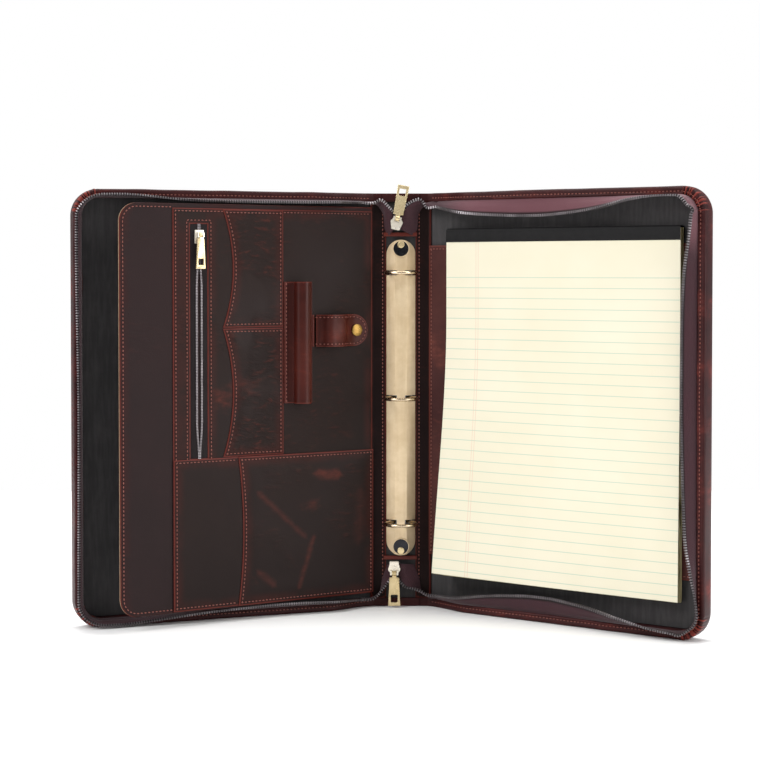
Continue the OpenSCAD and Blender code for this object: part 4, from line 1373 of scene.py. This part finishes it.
def plate_ends():
    """A dark dished washer under each end rivet, in a bright rolled rim."""
    low, high = SPINE.extent("plate_end_washers")
    base, r = low[1], 6.5
    for k, z in ((1, high[2] - 7.6), (-1, low[2] + 7.6)):
        dish = [(r, -1.2), (r, 0.7), (r - 1.0, 0.6), (r - 2.8, 0.42), (0.4, 0.4)]
        word = "top" if k > 0 else "bottom"
        obj = turned_button(word + "_plate_dish", SPINE, 0, z, base + 0.3, dish, GUNMETAL)
        finish_piece(obj, "spine", "gunmetal", "plate_end_washers")
        lip = [(r + 0.9, -1.3), (r + 0.95, 0.5), (r + 0.5, 0.95), (r + 0.05, 0.8), (r, 0.5), (r, -1.3)]
        finish_piece(turned_button(word + "_plate_lip", SPINE, 0, z, base + 0.3, lip, BRASS), "spine",
                     "antique_brass")


plate_ends()
cap_low, cap_high = LEAF.extent("snap_cap")
cap_r = (cap_high[0] - cap_low[0]) / 2
cap_profile = [(cap_r - 0.3, 0), (cap_r, 0.25), (cap_r, 0.6), (cap_r - 0.25, 0.95)]
cap_profile += [(cap_r * math.cos(t), 0.95 + 0.75 * math.sin(t)) for t in np.linspace(0.32, 1.5, 8)]
button = turned_button("snap_button", LEAF, (cap_low[0] + cap_high[0]) / 2, (cap_low[2] + cap_high[2]) / 2,
                       cap_low[1],
                       cap_profile, SNAP_BRASS)
finish_piece(button, "strap", "bright_brass", "snap_cap")


# ---- Writing pad and its band --------------------------------------------------------------------

band_low, band_high = RIGHT.extent("pad_band")
obj = panel("pad_band_leather", RIGHT, band_low[0], band_high[0], spread(band_low[2], band_high[2], 60),
            band_high[1],
            1.3, BAND_LEATHER, count=44, swell=-0.5, seed=91)
finish_piece(obj, RIGHT, "inner_leather", "pad_band")
for z_line in (band_low[2] + 3, band_high[2] - 3):
    seams["right_cover"].append(RIGHT.at(np.linspace(4, band_high[0] - 2, 60), band_high[1] + 0.05, z_line))
seams["right_cover"].append(RIGHT.at(4.5, band_high[1] + 0.05,
                                     np.linspace(band_low[2] + 4, band_high[2] - 4, 60)))

sheets_low, sheets_high = RIGHT.extent("pad_sheets")
PAD_W, PAD_H = sheets_high[0] - sheets_low[0], sheets_high[2] - sheets_low[2]
PAGES = 14
CURL = 21.0


def page_lift(s, z, share):
    """How far the sheets have sprung up: most at the bottom corner nearest the spine."""
    along = (sheets_high[2] - z) / PAD_H
    across = np.clip(1 - (s - sheets_low[0]) / PAD_W, 0, 1)
    return CURL * share * smooth(along, 0.25, 1.25) * (0.1 + 0.9 * across**2.2)


def pad_leaf(name, k):
    """One bundle of sheets in the pad, a little out of line with its neighbours."""
    share = (k + 1) / PAGES
    rng = np.random.default_rng(200 + k)
    ds, dz = rng.uniform(-0.25, 0.25, 2)
    thickness = (sheets_high[1] - sheets_low[1]) / PAGES
    s = sheets_low[0] + np.linspace(0, 1, 26)[None, :] * PAD_W + ds
    z = sheets_low[2] + np.linspace(0, 1,
                                    34)[:, None] * (PAD_H - 1.2) + dz * (1 - np.linspace(0, 1, 34)[:, None])
    sprung = page_lift(s, z, share**1.4)
    n = sheets_low[1] + thickness * (k + 1) + sprung + 0.15 * relief(s + 0 * z, z + 0 * s, 60, 17)
    u = s - sheets_low[0] + 0 * z
    material = PAPER if k == PAGES - 1 else PAGE_EDGES
    v = sheets_high[2] - z if k == PAGES - 1 else n
    grid = RIGHT.at(s - 0.2 * sprung, n, z + 0.3 * sprung)
    return sheet(name, grid, thickness * 0.92, material, (u, v + 0 * s), flip=True, sharp=30)


bundles = [pad_leaf(f"pad_sheets_{k + 1:02d}", k) for k in range(PAGES)]
for obj in bundles:
    finish_piece(obj, "writing_pad", "paper", "pad_sheets")
    tuple(RIGHT.at(120, band_high[1] + 0.6, 180) * MM)
    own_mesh(obj)


def pad_binding():
    """The cloth strip that wraps over the top of the pad."""
    low, high = RIGHT.extent("pad_binding")
    n1 = sheets_high[1] + 0.25
    rows = [(low[2], n1), (low[2] + 0.5, n1 + 0.12), (high[2] - 3, n1 + 0.12), (high[2] - 0.8, n1 - 0.1),
            (high[2], n1 - 1),
            (high[2], sheets_low[1]), (high[2] - 0.4, 0.6), (high[2] - 1.5, 0.25), (low[2] + 1, 0.25)]
    rows = curve_through(rows, 40)
    s = spread(low[0], high[0], 60)
    n = rows[:, 1, None] + 0.12 * relief(s[None, :] + 0 * rows[:, :1], rows[:, :1], 25, 7)
    run = np.cumsum(np.r_[0, np.hypot(*np.diff(rows, axis=0).T)])
    return sheet("pad_binding_cloth", RIGHT.at(s[None, :] + 0 * n, n, rows[:, 0, None] + 0 * n), 0.3,
                 BINDING,
                 (s[None, :] + 0 * n, run[:, None] + 0 * n), flip=True, sharp=60)


finish_piece(pad_binding(), "writing_pad", "pad_binding", "pad_binding")


for body, lines in seams.items():
    row = STITCHES.grow(body + "_stitches", lines, THREAD, **STITCH_SIZE)
    finish_piece(row, body, "trim_leather" if body == "strap" else "inner_leather")


# ---- Floor, light and camera ---------------------------------------------------------------------

def stage_floor():
    sh = Shader("white_floor")
    sh.set(Base_Color=rgb("#f6f6f6"), Roughness=0.6)
    mesh = bpy.data.meshes.new("floor")
    mesh.from_pydata([(-2, -1.45, 0), (2, -1.45, 0), (2, 0.8, 0), (-2, 0.8, 0)], [], [(0, 1, 2, 3)])
    mesh.materials.append(sh.material)
    floor = bpy.data.objects.new("floor", mesh)
    bpy.context.scene.collection.objects.link(floor)


def area_light(name, place, target, size, watts):
    data = bpy.data.lights.new(name, "AREA")
    data.shape = "RECTANGLE"
    data.size, data.size_y = size
    data.energy = watts
    light = bpy.data.objects.new(name, data)
    bpy.context.scene.collection.objects.link(light)
    light.location = place
    aim(light, target)
    return light


def aim(obj, target):
    way = Vector(target) - obj.location
    obj.rotation_euler = way.to_track_quat("-Z", "Y").to_euler()


def studio_world(seen, light):
    """White behind the case, and a dimmer even light on it."""
    world = bpy.data.worlds.new("studio")
    world.use_nodes = True
    tree = world.node_tree
    path = tree.nodes.new("ShaderNodeLightPath")
    level = tree.nodes.new("ShaderNodeMapRange")
    level.inputs["To Min"].default_value = light
    level.inputs["To Max"].default_value = seen
    tree.links.new(path.outputs["Is Camera Ray"], level.inputs["Value"])
    tree.links.new(level.outputs[0], tree.nodes["Background"].inputs["Strength"])
    tree.nodes["Background"].inputs["Color"].default_value = (1, 1, 1, 1)
    bpy.context.scene.world = world


stage_floor()
studio_world(1.0, 0.45)
area_light("key", (-1.5, -1.1, 1.7), (0, 0, 0.18), (1.2, 1.2), 40)
area_light("fill", (1.6, -1.2, 1.3), (0, 0, 0.15), (1.4, 1.0), 15)
area_light("top", (0.1, 0.35, 1.9), (0, -0.05, 0.2), (2.4, 0.9), 44)
for side, watts in ((-1, 5), (1, 15)):
    area_light("side card", (side * 1.7, -0.9, 0.25), (0, 0, 0.17), (0.9, 0.9), watts)
bpy.context.scene.view_settings.view_transform = "Standard"

camera_data = bpy.data.cameras.new("camera")
camera_data.lens = 83.7
camera_data.sensor_width = 36
camera_data.shift_y = -0.079
camera = bpy.data.objects.new("camera", camera_data)
bpy.context.scene.collection.objects.link(camera)
camera.location = (-0.0234, -1.5303, 0.2914)
camera.rotation_euler = (math.radians(90 - 1.6), 0, math.radians(-0.2))
bpy.context.scene.camera = camera
